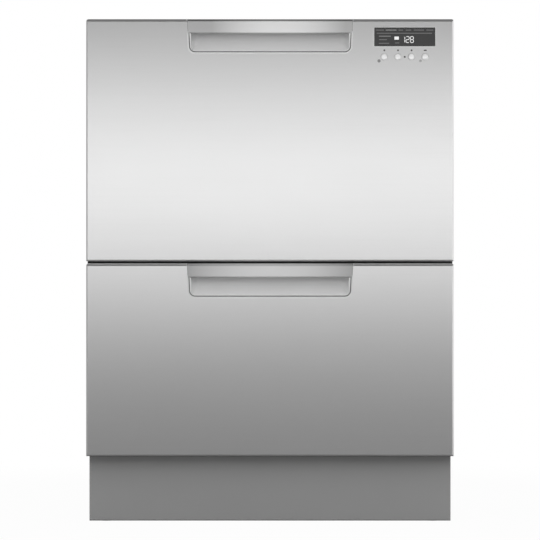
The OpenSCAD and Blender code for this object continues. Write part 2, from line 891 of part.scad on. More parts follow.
module worktop_brackets() {
    x0 = bracket_x - bracket_w / 2;
    x1 = bracket_x + bracket_w / 2;
    color(zinc)
    both_sides()
    difference() {
        along_z(cab_top, cab_top + bracket_t)
            polygon(round_rectangle(x0, x1, bracket_y0, bracket_y0 + bracket_l, 4));
        bar_z(bracket_x, bracket_hole_y, fixing_r, cab_top - cut, cab_top + bracket_t + cut);
    }
}

thread_l = 14;
connection_collar_t = 3;
connection_end = back_y + connection_collar_t + thread_l;
module inlet_valve() {
    coil_x = valve_x + 18;
    body_y = back_y - 22;
    bore_r = inlet_r - 4.2;
    color(white_plastic)
    difference() {
        union() {
            bar_y(valve_x, connection_z, inlet_r, body_y, connection_end);
            bar_y(valve_x, connection_z, inlet_r + 4, back_y, back_y + connection_collar_t);
            // Valve body behind the panel, with its coil to one side
            bar_x(body_y + 8, connection_z, 9, valve_x, coil_x + 26);
            block(
                coil_x, coil_x + 24, body_y - 3, back_y - sheet_t - clear,
                connection_z - 12, connection_z + 12
            );
        }
        bar_y(valve_x, connection_z, bore_r, back_y, connection_end + cut);
    }
}

module drain_outlet() {
    elbow_y = back_y - 13;
    spigot_end = connection_end + 1;
    color(grey_plastic)
    difference() {
        union() {
            bar_y(drain_x, connection_z, drain_r, elbow_y - 7, spigot_end);
            bar_y(drain_x, connection_z, drain_r + 5, back_y, back_y + connection_collar_t);
            // Elbow up to the hose from the drain pumps
            bar_z(drain_x, elbow_y, drain_r - 1.5, connection_z, connection_z + 40);
        }
        bar_y(drain_x, connection_z, drain_r - 2.5, elbow_y, spigot_end + cut);
    }
}

// A collar outside, a hexagonal nut inside, and a bore for the lead
module mains_gland() {
    nut_r = 13;
    nut_t = 5;
    reach = 8;
    color(rubber)
    difference() {
        union() {
            bar_y(gland_x, connection_z, gland_r, back_y - reach, back_y + reach);
            bar_y(gland_x, connection_z, gland_r + 4, back_y, back_y + connection_collar_t);
            translate([gland_x, back_y - sheet_t, connection_z])
                rotate([90, 0, 0]) cylinder(r = nut_r, h = nut_t, $fn = 6);
        }
        bar_y(gland_x, connection_z, gland_r / 2, back_y - reach - cut, back_y + reach + cut);
    }
}

// ---------- Runners ----------

rail_y0 = cab_front_y + hem_l + 2;
rail_y1 = back_y - rail_back_gap;
rail_l = rail_y1 - rail_y0;
rail_bend_r = 1.4;
flange_l = 8.7;
fixed_x = cab_in - rail_standoff;
middle_x = fixed_x - rail_t - rail_run - 0.2;
inner_x = middle_x - flange_l - clear;
shelf_y1 = rail_y1 - 20;

// A channel of half height h, its web at x and its flanges towards the middle for side 1
function channel(x, h, reach) = [[x - reach, -h], [x, -h], [x, h], [x - reach, h]];

// The web of the drawer member stands at web, and its flanges point outwards
function drawer_channel(web, h, reach) = [[web + reach, h], [web, h], [web, -h], [web + reach, -h]];

fixed_h = rail_h / 2;
middle_h = fixed_h - rail_t - rail_run;
inner_h = middle_h - rail_t - rail_run;

// Rivets hold the fixed members off the side panels
module cabinet_rails() {
    rivets = [rail_y0 + 40, rail_y0 + rail_l * 0.4, rail_y1 - 40];
    rivet_r = 7;
    sunk = 0.4;
    color(zinc)
    for (b = [LOWER, UPPER]) {
        both_sides() {
            along_y(rail_y0, rail_y1)
                translate([0, rail_z[b]])
                    polygon(sheet(bent(channel(fixed_x, fixed_h, flange_l), rail_bend_r), rail_t));
            for (y = rivets) {
                bar_x(y, rail_z[b], rivet_r, fixed_x - sunk, cab_in);
            }
        }
    }
}

module middle_rails(b) {
    color(zinc)
    both_sides()
        along_y(rail_y0, rail_y1)
            translate([0, rail_z[b]])
                polygon(sheet(bent(channel(middle_x, middle_h, flange_l), rail_bend_r), rail_t));
}

module drawer_rails(b) {
    web = inner_x - rail_t;
    reach = 8.2;
    rise = tub_z[b] - rail_z[b] - rail_t;
    overlap = 6;
    color(zinc)
    both_sides() {
        along_y(rail_y0, rail_y1)
            translate([0, rail_z[b]])
                polygon(sheet(bent(drawer_channel(web, inner_h, reach), rail_bend_r), rail_t));
        // Shelf that the tub stands on, folded from the web and reaching forward to the front
        along_y(tub_front_y, shelf_y1)
            translate([0, rail_z[b]])
                polygon(sheet([[web, -overlap], [web, rise], [web - shelf_w, rise]], -rail_t));
    }
}

// ---------- Tub ----------

// Rings of the tub's form, from its floor to height top, set in by wall
function tub_rings(b, wall, top) =
    let (
        hw0 = tub_rim_hw - tub_draft - wall,
        hw1 = tub_rim_hw - wall,
        y0 = tub_front_y + wall,
        y1 = tub_back_y - tub_draft - wall,
        y2 = tub_back_y - wall,
        z0 = tub_z[b] + wall,
        fr = tub_floor_r,
        r = tub_corner_r - wall,
        bends = [for (t = [0 : 18 : 90]) [fr * (1 - sin(t)), fr * (1 - cos(t))]]
    )
    concat(
        [for (p = bends) ring(z0 + p[1], hw0 - p[0], y0 + p[0], y1 - p[0], max(r - p[0], 6))],
        [ring(top, hw1, y0, y2, r)]
    );

ledge_t = 3;
tub_flange_t = 4;
gusset_count = 7;
module tub(b) {
    z0 = tub_z[b];
    rim = rim_z[b];
    gusset_pitch = (tub_depth - 90) / (gusset_count - 1);
    ledge_x0 = tub_rim_hw - tub_draft - tub_floor_r - 6;
    ledge_x1 = inner_x - rail_t - 1;
    sump_z = z0 - sump_d;
    shaft_r = 20;
    color(tub_grey)
    difference() {
        union() {
            loft(tub_rings(b, 0, rim));
            // Rim flange on three sides, flush with the front wall
            loft([
                for (z = [rim - tub_flange_t, rim])
                    ring(z, flange_hw, tub_front_y, tub_back_y + rim_w, tub_corner_r + rim_w)
            ]);
            // Ledges over the runner shelves, carried by gussets
            both_sides() {
                block(ledge_x0, ledge_x1, tub_front_y, shelf_y1, z0, z0 + ledge_t);
                for (i = [0 : gusset_count - 1]) {
                    y = tub_front_y + 30 + i * gusset_pitch;
                    along_y(y, y + tub_wall)
                        polygon([
                            [tub_rim_hw - 30, z0], [ledge_x1, z0], [ledge_x1, z0 + 8],
                            [tub_rim_hw - 4, z0 + 56], [tub_rim_hw - 20, z0 + 56]
                        ]);
                }
            }
            bar_z(0, tub_mid_y, sump_r, sump_z, z0 + 1);
        }
        loft(tub_rings(b, tub_wall, rim + cut));
        bar_z(0, tub_mid_y, sump_r - tub_wall, sump_z + tub_wall, z0 + tub_wall + cut);
        bar_z(0, tub_mid_y, shaft_r, sump_z - cut, z0);
    }
}

post_collar = 12;
module filter_plate(b) {
    z = floor_z[b];
    t = 2;
    dish = 4;
    dish_r = sump_r - 12;
    collar_z = z + post_collar;
    post_top = collar_z + clear + arm_h - 3;
    hole_r = 1.8;
    hole_pitch = 15;
    profile = [
        [0, z - dish], [post_r + 6, z - dish], [dish_r, z], [filter_r, z], [filter_r, z + t],
        [dish_r, z + t], [post_r + 14, z + 5], [post_r + 4, collar_z],
        [post_r, collar_z], [post_r, post_top - 1], [post_r - 1, post_top], [0, post_top]
    ];
    color(grey_plastic)
    translate([0, tub_mid_y, 0])
    difference() {
        rotate_extrude($fn = 72) polygon(profile);
        // Rings of holes in the dished part
        for (r = [post_r + 25 : 5 * hole_r : dish_r - 2]) {
            count = floor(2 * PI * r / hole_pitch);
            for (i = [0 : count - 1]) {
                rotate([0, 0, 360 * i / count])
                    translate([r, 0, z - dish - cut]) cylinder(r = hole_r, h = 3 * dish, $fn = 8);
            }
        }
    }
}

// The centre line of an arm bows to one side as it reaches out to radius r
arm_bow = 16;
function bow(r) = arm_bow * sin(180 * r / arm_l);

// One edge of an arm's plan, on the side that sign gives
arm_root = 25;
arm_tip = 14;
arm_steps = 16;
function edge(sign) = [
    for (i = [0 : arm_steps])
        let (s = i / arm_steps)
        [arm_l * s, bow(arm_l * s) + sign * (arm_root + (arm_tip - arm_root) * s)]
];

module spray_arm(b) {
    z = floor_z[b] + post_collar + clear;
    top = z + arm_h;
    blade_top = top - 1;
    tip_rise = 3.5;
    hub_r = post_r + 12;
    jet_r = 1.5;
    jets = 6;
    plan = concat(edge(-1), reversed(edge(1)));
    section = [
        [0, z], [hub_r, z], [arm_l, z + tip_rise],
        [arm_l, blade_top - tip_rise], [hub_r, blade_top], [0, blade_top]
    ];
    color(grey_plastic)
    translate([0, tub_mid_y, 0])
    difference() {
        union() {
            intersection() {
                rotate_extrude($fn = 72) polygon(section);
                along_z(z - cut, top + cut)
                    union() {
                        polygon(plan);
                        rotate(180) polygon(plan);
                    }
            }
            translate([0, 0, z]) cylinder(r = hub_r, h = arm_h, $fn = 72);
        }
        // Bearing of the hub, then the jets along each arm
        translate([0, 0, z - cut]) cylinder(r = post_r + post_fit, h = arm_h - 2 + cut, $fn = 48);
        for (turn = [0, 180]) {
            for (i = [1 : jets]) {
                r = hub_r + i * (arm_l - hub_r) / (jets + 0.5);
                rotate([0, 0, turn])
                    translate([r, bow(r), z + arm_h / 2]) cylinder(r = jet_r, h = arm_h, $fn = 12);
            }
        }
    }
}

// The circulation motor hangs under the sump, with cooling ribs around its bell
motor_rib_t = 3;
drain_pump_x = 118;
drain_pump_r = 26;
duct_w = 20;
module wash_motor(b) {
    z0 = bay_z[b] + 1;
    z1 = tub_z[b] - sump_d;
    r = sump_r - 6;
    pump_y = tub_mid_y + 40;
    duct_y = pump_y - 46;
    duct_z0 = z0 + 4;
    bell = [
        [0, z0], [r - 14, z0], [r - 4, z0 + 3], [r, z0 + 10],
        [r, z1 - 6], [sump_r, z1 - 4], [sump_r, z1], [0, z1]
    ];
    color(rubber)
    union() {
        translate([0, tub_mid_y, 0]) rotate_extrude($fn = 72) polygon(bell);
        for (a = [0 : 30 : 330]) {
            translate([0, tub_mid_y, 0])
                rotate([0, 0, a])
                    block(r - 4, sump_r - 0.5, -motor_rib_t / 2, motor_rib_t / 2, z0 + 9, z1 - 2);
        }
        // Drain pump beside the motor, joined by its duct
        bar_z(drain_pump_x, pump_y, drain_pump_r, z0, tub_z[b]);
        block(r - 8, drain_pump_x, duct_y, duct_y + duct_w, duct_z0, duct_z0 + 16);
        block(
            drain_pump_x - duct_w / 2, drain_pump_x + duct_w / 2, duct_y, pump_y,
            duct_z0, duct_z0 + 16
        );
    }
}

// ---------- Rack ----------

rack_hw = tub_rim_hw - rack_side_gap;
grid_z = [for (b = [LOWER, UPPER]) floor_z[b] + rack_lift];
rack_y0 = tub_front_y + tub_wall + rack_front_gap;
rack_y1 = tub_back_y - tub_draft - tub_wall - rack_back_gap;
across_n = ceil(2 * rack_hw / wire_pitch);
along_n = ceil((rack_y1 - rack_y0) / wire_pitch);
across_x = [for (i = [0 : across_n]) -rack_hw + 2 * rack_hw * i / across_n];
along_pos = [for (i = [0 : along_n]) rack_y0 + (rack_y1 - rack_y0) * i / along_n];
bend_r = 6;

// Straight end of a cross wire above its bend
straight_end = 0.5;

// Welded wires lie a hair apart, so that each stays a solid of its own
weld = 0.02;

// A bent wire that lies in a plane of constant y, and one in a plane of constant x
module wire_across(y, path) {
    along_y(y - wire_d / 2, y + wire_d / 2) polygon(sheet(bent(path, bend_r), wire_d));
}

module wire_along(x, path) {
    along_x(x - wire_d / 2, x + wire_d / 2) polygon(sheet(bent(path, bend_r), wire_d));
}

// Height of the lengthwise wires, which lie welded on the cross wires
along_z0 = [for (b = [LOWER, UPPER]) grid_z[b] + wire_d + weld];
along_z1 = [for (b = [LOWER, UPPER]) along_z0[b] + wire_d];
tine_row = ceil(across_n * 0.62);
tine_y = [for (y = [along_pos[1] + 16 : tine_pitch : along_pos[along_n - 1] - 12]) y];
fold_r = wire_d / 2;
fold_z = [for (b = [LOWER, UPPER]) along_z1[b] + clear + fold_r];
clip_w = 5;
clip_hw = 5;
rack_foot_r = 3;
fold_x = across_x[floor(across_n / 2)] - wire_d / 2 - clip_hw - 2 * clear;
module rack(b) {
    d = wire_d;
    zg = grid_z[b];
    zl = along_z0[b];
    zs = rim_z[b] - side_drop;
    zf = rim_z[b] - front_drop;
    z_bend = zg + bend_r + straight_end;
    post_y0 = rack_y0 - d - 2 * weld;
    post_y1 = rack_y1 + d + 2 * weld;
    side_x = rack_hw + d / 2 + weld;
    end_hw = side_x - d / 2 - weld;
    color(rack_grey)
    union() {
        // Each cross wire is bent up at both ends, where a straight riser is butt-welded to it
        for (y = [for (i = [1 : along_n - 1]) along_pos[i]]) {
            wire_across(y, [[-rack_hw, z_bend], [-rack_hw, zg], [rack_hw, zg], [rack_hw, z_bend]]);
            both_sides() block(rack_hw - d, rack_hw, y - d / 2, y + d / 2, z_bend + weld, zs + d);
        }
        // Two of them stand on feet, outside the sweep of the spray arm, and carry the clips for the
        // shaft of the folding tines
        for (i = [1, along_n - 1]) {
            y = along_pos[i];
            both_sides() bar_z(across_x[across_n - 1], y, rack_foot_r, floor_z[b], zg - weld);
            difference() {
                block(
                    fold_x - clip_hw, fold_x + clip_hw, y - clip_w / 2, y + clip_w / 2,
                    zl, fold_z[b] + clip_hw
                );
                bar_y(fold_x, fold_z[b], fold_r + clear, y - clip_w, y + clip_w);
            }
        }
        // Lengthwise wires lie on the cross wires and turn up at the front and the back
        for (i = [1 : across_n - 1]) {
            wire_along(across_x[i], [[rack_y0, zf + d], [rack_y0, zl], [rack_y1, zl], [rack_y1, zf + d]]);
        }
        // Side loops, each with a low rail, and the rails of the front and the back
        both_sides() {
            wire_along(side_x, [[post_y0, zf], [post_y0, zs], [post_y1, zs], [post_y1, zf]]);
            block(side_x - d / 2, side_x + d / 2, post_y0, post_y1, zf, zf + d);
        }
        for (y = [rack_y0 - d - weld, rack_y1 + weld]) {
            block(-end_hw, end_hw, y, y + d, zf, zf + d);
        }
        // Row of fixed tines
        for (y = tine_y) {
            translate([across_x[tine_row], y, zl + d + weld]) cylinder(d = tine_d, h = tine_h, $fn = 24);
        }
    }
}

module fold_tines(b) {
    z = fold_z[b];
    color(rack_grey)
    union() {
        bar_y(fold_x, z, fold_r, along_pos[1] - clip_w, along_pos[along_n - 1] + clip_w);
        for (y = tine_y) {
            translate([fold_x, y, z]) cylinder(d = tine_d, h = tine_h, $fn = 24);
        }
    }
}

shelf_z = [for (b = [LOWER, UPPER]) rim_z[b] - shelf_drop];
shelf_t = 3;
shelf_hinge_r = 3.2;
shelf_x0 = -rack_hw + wire_d + clear + shelf_hinge_r;
module cup_shelf(b) {
    z = shelf_z[b];
    x1 = shelf_x0 + shelf_reach;
    y0 = tub_mid_y - shelf_l / 2;
    y1 = tub_mid_y + shelf_l / 2;
    border = 10;
    corner = 14;
    lip = 8;
    slots = 7;
    bar = 12;
    slot_pitch = (shelf_l - 2 * border + bar) / slots;
    color(rack_grey)
    difference() {
        union() {
            along_z(z - shelf_t / 2, z + shelf_t / 2)
                polygon(rounded(rectangle(shelf_x0, x1, y0, y1), [0, corner, corner, 0]));
            // Hinge barrel and raised outer edge
            bar_y(shelf_x0, z, shelf_hinge_r, y0, y1);
            block(x1 - shelf_t, x1, y0 + corner, y1 - corner, z - lip / 2, z + lip / 2);
        }
        for (i = [0 : slots - 1]) {
            slot_y = y0 + border + i * slot_pitch;
            along_z(z - lip, z + lip)
                polygon(round_rectangle(
                    shelf_x0 + border, x1 - border, slot_y, slot_y + slot_pitch - bar, 5
                ));
        }
    }
}

basket_side_gap = 1;
basket_x0 = rack_hw - wire_d - basket_side_gap - basket_w;
basket_y0 = tub_mid_y - basket_l / 2 + 20;
basket_z = [for (b = [LOWER, UPPER]) along_z1[b] + clear];
module cutlery_basket(b) {
    x0 = basket_x0;
    x1 = basket_x0 + basket_w;
    y0 = basket_y0;
    y1 = basket_y0 + basket_l;
    z0 = basket_z[b];
    z1 = z0 + basket_h;
    w = basket_wall;
    corner = 8;
    cells = 4;
    low_wall = 16;
    columns = 2 * cells;
    rows = 3;
    floor_rows = 3;
    bar = 5;
    window_y = (basket_l - 2 * w) / columns;
    window_x = (basket_w - 2 * corner) / floor_rows;
    window_z = (basket_h - 3 * corner) / rows;
    color(grey_plastic)
    difference() {
        union() {
            difference() {
                along_z(z0, z1) polygon(round_rectangle(x0, x1, y0, y1, corner));
                along_z(z0 + w, z1 + cut)
                    polygon(round_rectangle(x0 + w, x1 - w, y0 + w, y1 - w, corner - w));
            }
            for (i = [1 : cells - 1]) {
                y = y0 + basket_l * i / cells;
                block(x0 + w / 2, x1 - w / 2, y - w / 2, y + w / 2, z0 + w / 2, z1 - low_wall);
            }
        }
        // Windows in the long walls and in the floor
        for (i = [0 : columns - 1]) {
            y = y0 + w + i * window_y;
            for (j = [0 : rows - 1]) {
                z = z0 + 2 * bar + j * window_z;
                block(x0 - cut, x1 + cut, y + bar / 2, y + window_y - bar / 2, z, z + window_z - bar);
            }
            for (k = [0 : floor_rows - 1]) {
                x = x0 + corner + k * window_x;
                block(
                    x + bar / 2, x + window_x - bar / 2, y + bar, y + window_y - bar,
                    z0 - cut, z0 + w + cut
                );
            }
        }
    }
}

dispenser_top = 20;
dispenser_lip = 6;
door_hinge_r = 2.6;
door_w = 56;
door_x = -dispenser_w / 2 + 10;
door_t = 3;
disp_front_y = tub_front_y + tub_wall + dispenser_t;
door_z = [for (b = [LOWER, UPPER]) rim_z[b] - dispenser_top - dispenser_h + 9];
cap_r = 17;
cap_t = 3;
module dispenser(b) {
    z1 = rim_z[b] - dispenser_top;
    z0 = z1 - dispenser_h;
    y0 = tub_front_y + tub_wall;
    y1 = disp_front_y;
    cap_x = dispenser_w / 2 - cap_r - 9;
    cap_z = (z0 + z1) / 2;
    seat_x0 = door_x - clear;
    seat_x1 = door_x + door_w + clear;
    hinge_y = y1 - door_hinge_r;
    color(white_plastic)
    difference() {
        union() {
            along_y(y0, y1)
                polygon(round_rectangle(-dispenser_w / 2, dispenser_w / 2, z0, z1, 9));
            // Cap of the rinse aid, with a ridge to turn it by
            bar_y(cap_x, cap_z, cap_r, y1 - cut, y1 + cap_t);
            block(cap_x - 13, cap_x + 13, y1 + cap_t - cut, y1 + 2 * cap_t, cap_z - 2.5, cap_z + 2.5);
        }
        // Seat of the door and of its hinge, then the detergent cup behind it
        along_y(y1 - door_t - clear, y1 + cut)
            polygon(rectangle(seat_x0, seat_x1, door_z[b] - door_hinge_r - clear, z1 - dispenser_lip));
        bar_x(hinge_y, door_z[b], door_hinge_r + clear, seat_x0, seat_x1);
        along_y(y0 + 2, y1)
            polygon(round_rectangle(
                door_x + 5, door_x + door_w - 5, door_z[b] + 6, z1 - 2 * dispenser_lip, 6
            ));
    }
}

module dispenser_door(b) {
    y1 = disp_front_y;
    z = door_z[b];
    top = min(z + door_h, rim_z[b] - dispenser_top - dispenser_lip - clear);
    ridge = 3;
    color(grey_plastic)
    union() {
        along_y(y1 - door_t, y1)
            polygon(rounded(rectangle(door_x, door_x + door_w, z, top), [0, 0, 5, 5]));
        bar_x(y1 - door_hinge_r, z, door_hinge_r, door_x, door_x + door_w);
        // Finger ridge near the free edge
        along_x(door_x + 4 * ridge, door_x + door_w - 4 * ridge)
            polygon([[y1, top - 4 * ridge], [y1 + ridge, top - 2.5 * ridge], [y1, top - ridge]]);
    }
}

// ---------- Lids ----------

lid_hw = flange_hw;
lid_y0 = tub_front_y + 8;
lid_y1 = tub_back_y + rim_w;
lift_x0 = lid_hw + 8;
pin_y = [tub_mid_y - lid_pin_gap / 2, tub_mid_y + lid_pin_gap / 2];
pin_drop = 6;
pin_in = 10;

// The outline of a lid at height z, drawn in on all sides
function lid_ring(z, set_in, r) = ring(z, lid_hw - set_in, lid_y0 + set_in, lid_y1 - set_in, r);

module lid(b) {
    z0 = lid_z[b];
    z1 = z0 + lid_h;
    r = tub_corner_r;
    taper = 2;
    rib_hw = 1;
    rib_z0 = z0 + 1;
    rib_z1 = z1 - 4;
    ribs_x = [for (i = [-3 : 3]) i * lid_hw / 4];
    ribs_y = [for (i = [1 : 5]) lid_y0 + (lid_y1 - lid_y0) * i / 6];
    color(tub_grey)
    union() {
        difference() {
            loft([lid_ring(z0, 0, r), lid_ring(z1, taper, r)]);
            loft([
                lid_ring(z0 + lid_skin, lid_skin, r - taper),
                lid_ring(z1 + cut, lid_skin + taper, r - taper)
            ]);
        }
        intersection() {
            union() {
                for (x = ribs_x) {
                    block(x - rib_hw, x + rib_hw, lid_y0, lid_y1, rib_z0, rib_z1);
                }
                for (y = ribs_y) {
                    block(-lid_hw, lid_hw, y - rib_hw, y + rib_hw, rib_z0, rib_z1);
                }
            }
            loft([lid_ring(z0, 1, r), lid_ring(z1, taper + 1, r)]);
        }
        // Guide pins that run in the slots of the lifts
        for (y = pin_y) {
            both_sides() bar_x(y, z0 + pin_drop, lid_pin_r, lid_hw - 6, lift_x0 + pin_in - 2);
        }
    }
}

module lid_seal(b) {
    z1 = lid_z[b];
    z0 = z1 - seal_h;
    r = tub_corner_r;
    edge = 1;
    color(rubber)
    difference() {
        loft([
            lid_ring(z0, edge + 2, r),
            lid_ring(z1 - 2, edge, r),
            lid_ring(z1, edge, r)
        ]);
        loft([lid_ring(z0 - cut, seal_w, r - 6), lid_ring(z1 + cut, seal_w, r - 6)]);
    }
}

module lid_lifts() {
    slot = lid_pin_r + clear;
    ends = 24;
    motor_w = 80;
    motor_h = 44;
    flare = 16;
    color(grey_plastic)
    for (b = [LOWER, UPPER]) {
        pin_z = lid_z[b] + pin_drop;
        z0 = pin_z - lid_travel - slot - 6;
        z1 = pin_z + slot + 4;
        motor = [
            [tub_mid_y - motor_w / 2, z0 - motor_h],
            [tub_mid_y + motor_w / 2, z0 - motor_h],
            [tub_mid_y + motor_w / 2 + flare, z0 + 4],
            [tub_mid_y - motor_w / 2 - flare, z0 + 4]
        ];
        both_sides()
        difference() {
            union() {
                along_x(lift_x0, cab_in)
                    polygon(round_rectangle(pin_y[0] - ends, pin_y[1] + ends, z0, z1, 5));
                // Motor housing below the lift arm
                along_x(lift_x0 + 2, cab_in) polygon(rounded(motor, [6, 6, 0, 0]));
            }
            for (y = pin_y) {
                along_x(lift_x0 - cut, lift_x0 + pin_in)
                    polygon(rectangle(y - slot, y + slot, pin_z - lid_travel - slot, pin_z + slot));
            }
        }
    }
}

// ---------- Nodes ----------

side_panel(LEFT);  // side_panel_left
side_panel(RIGHT);  // side_panel_right
top_panel();
back_panel();
base_pan();
bay_divider();
front_trim();
kick_strip();
worktop_brackets();
inlet_valve();
drain_outlet();
mains_gland();
lid_lifts();
cabinet_rails();
foot(LEFT, 0);  // foot_front_left
foot(RIGHT, 0);  // foot_front_right
foot(LEFT, 1);  // foot_rear_left
foot(RIGHT, 1);  // foot_rear_right
front_skin(UPPER);  // upper_front_skin
inner_front(UPPER);  // upper_inner_front
handle_scoop(UPPER);  // upper_handle_scoop
grip_bar(UPPER);  // upper_grip_bar
tub(UPPER);  // upper_tub
filter_plate(UPPER);  // upper_filter_plate
wash_motor(UPPER);  // upper_wash_motor
drawer_rails(UPPER);  // upper_drawer_rails
middle_rails(UPPER);  // upper_middle_rails
rack(UPPER);  // upper_rack
cutlery_basket(UPPER);  // upper_cutlery_basket
dispenser(UPPER);  // upper_dispenser
dispenser_door(UPPER);  // upper_dispenser_door
spray_arm(UPPER);  // upper_spray_arm
fold_tines(UPPER);  // upper_fold_tines
cup_shelf(UPPER);  // upper_cup_shelf
lid(UPPER);  // upper_lid
lid_seal(UPPER);  // upper_lid_seal
front_skin(LOWER);  // lower_front_skin
inner_front(LOWER);  // lower_inner_front
handle_scoop(LOWER);  // lower_handle_scoop
grip_bar(LOWER);  // lower_grip_bar
tub(LOWER);  // lower_tub
filter_plate(LOWER);  // lower_filter_plate
wash_motor(LOWER);  // lower_wash_motor
drawer_rails(LOWER);  // lower_drawer_rails
middle_rails(LOWER);  // lower_middle_rails
rack(LOWER);  // lower_rack
cutlery_basket(LOWER);  // lower_cutlery_basket
dispenser(LOWER);  // lower_dispenser
dispenser_door(LOWER);  // lower_dispenser_door
spray_arm(LOWER);  // lower_spray_arm
fold_tines(LOWER);  // lower_fold_tines
cup_shelf(LOWER);  // lower_cup_shelf
lid(LOWER);  // lower_lid
lid_seal(LOWER);  // lower_lid_seal
display_window();
control_module();
button(0);  // button_1
button(1);  // button_2
button(2);  // button_3
button(3);  // button_4
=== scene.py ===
# %% [markdown]
# # A dishwasher with two wash drawers
#
# The real object is a built-in machine: two stainless drawer fronts over a kick strip, each with a
# hollow for the fingers under its top edge, and a small display with four buttons at the top right.
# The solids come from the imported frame. This lesson dresses them with finishes worked out from
# numbers, and makes new pieces where a solid is too plain, such as the round wires of the racks.

# %% Load the frame
import math

import bmesh
import bpy
import numpy as np
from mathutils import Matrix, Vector


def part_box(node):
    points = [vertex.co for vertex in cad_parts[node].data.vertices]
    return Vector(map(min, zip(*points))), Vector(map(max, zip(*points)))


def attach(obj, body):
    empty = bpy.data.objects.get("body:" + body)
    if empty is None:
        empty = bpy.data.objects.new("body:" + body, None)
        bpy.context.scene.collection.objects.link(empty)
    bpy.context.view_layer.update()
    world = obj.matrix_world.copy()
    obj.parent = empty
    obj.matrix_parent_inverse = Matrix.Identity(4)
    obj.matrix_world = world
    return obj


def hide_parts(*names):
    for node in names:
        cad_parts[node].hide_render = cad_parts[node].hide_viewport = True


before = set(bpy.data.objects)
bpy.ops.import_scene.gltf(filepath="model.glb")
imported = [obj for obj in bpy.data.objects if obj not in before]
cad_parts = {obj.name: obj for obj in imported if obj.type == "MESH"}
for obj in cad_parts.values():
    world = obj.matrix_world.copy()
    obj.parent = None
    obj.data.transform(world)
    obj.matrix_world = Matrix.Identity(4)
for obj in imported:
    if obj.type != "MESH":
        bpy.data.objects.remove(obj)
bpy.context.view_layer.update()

# %% [markdown]
# ## Named sizes
#
# A piece has to sit on the solid that carries it, so its sizes are read from the boxes of the solids
# wherever that is possible. Millimetres are easier to read than metres, so small lengths are written
# as a number times MM.

# %% Sizes and names
MM = 0.001
DRAWERS = ("lower", "upper")
FRONT_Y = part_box("lower_front_skin")[0].y


def middle(node):
    """The centre of a solid's box, as three numbers."""
    low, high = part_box(node)
    return [(a + b) / 2 for a, b in zip(low, high)]


BUTTONS = [middle(f"button_{i}") for i in (1, 2, 3, 4)]
DISPLAY = middle("display_window")
display_low, display_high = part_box("display_window")
print("face of the fronts at", FRONT_Y, "display at", DISPLAY)


# %% [markdown]
# ## Arithmetic for finishes
#
# A finish is a small calculation: grain plus scratches, times a colour. Written as nodes it is long
# and hard to read, so the class Tone wraps one output of a node and lets Python's own signs add the
# Math nodes. Every other node comes from the method node, which takes the kind of node, its
# settings, and then the values or links of its inputs. The nodes could also be joined by hand in
# the Shader Editor, but a formula that stands in one line is easier to read, change and reuse.

# %% Tone and Finish
class Tone:
    """One output of a shader node, which can be added, multiplied and compared like a number."""

    def __init__(self, finish, socket):
        self.finish = finish
        self.socket = socket

    def maths(self, operation, *terms):
        return self.finish.node("ShaderNodeMath", {"operation": operation}, *terms)

    def __add__(self, other):
        return self.maths("ADD", self, other)

    def __radd__(self, other):
        return self.maths("ADD", other, self)

    def __sub__(self, other):
        return self.maths("SUBTRACT", self, other)

    def __rsub__(self, other):
        return self.maths("SUBTRACT", other, self)

    def __mul__(self, other):
        return self.maths("MULTIPLY", self, other)

    def __rmul__(self, other):
        return self.maths("MULTIPLY", other, self)

    def __truediv__(self, other):
        return self.maths("DIVIDE", self, other)

    def __rtruediv__(self, other):
        return self.maths("DIVIDE", other, self)

    def __pow__(self, other):
        return self.maths("POWER", self, other)

    def __gt__(self, other):
        return self.maths("GREATER_THAN", self, other)

    def __lt__(self, other):
        return self.maths("LESS_THAN", self, other)

    def size(self):
        return self.maths("ABSOLUTE", self)

    def at_least(self, floor):
        return self.maths("MAXIMUM", self, floor)


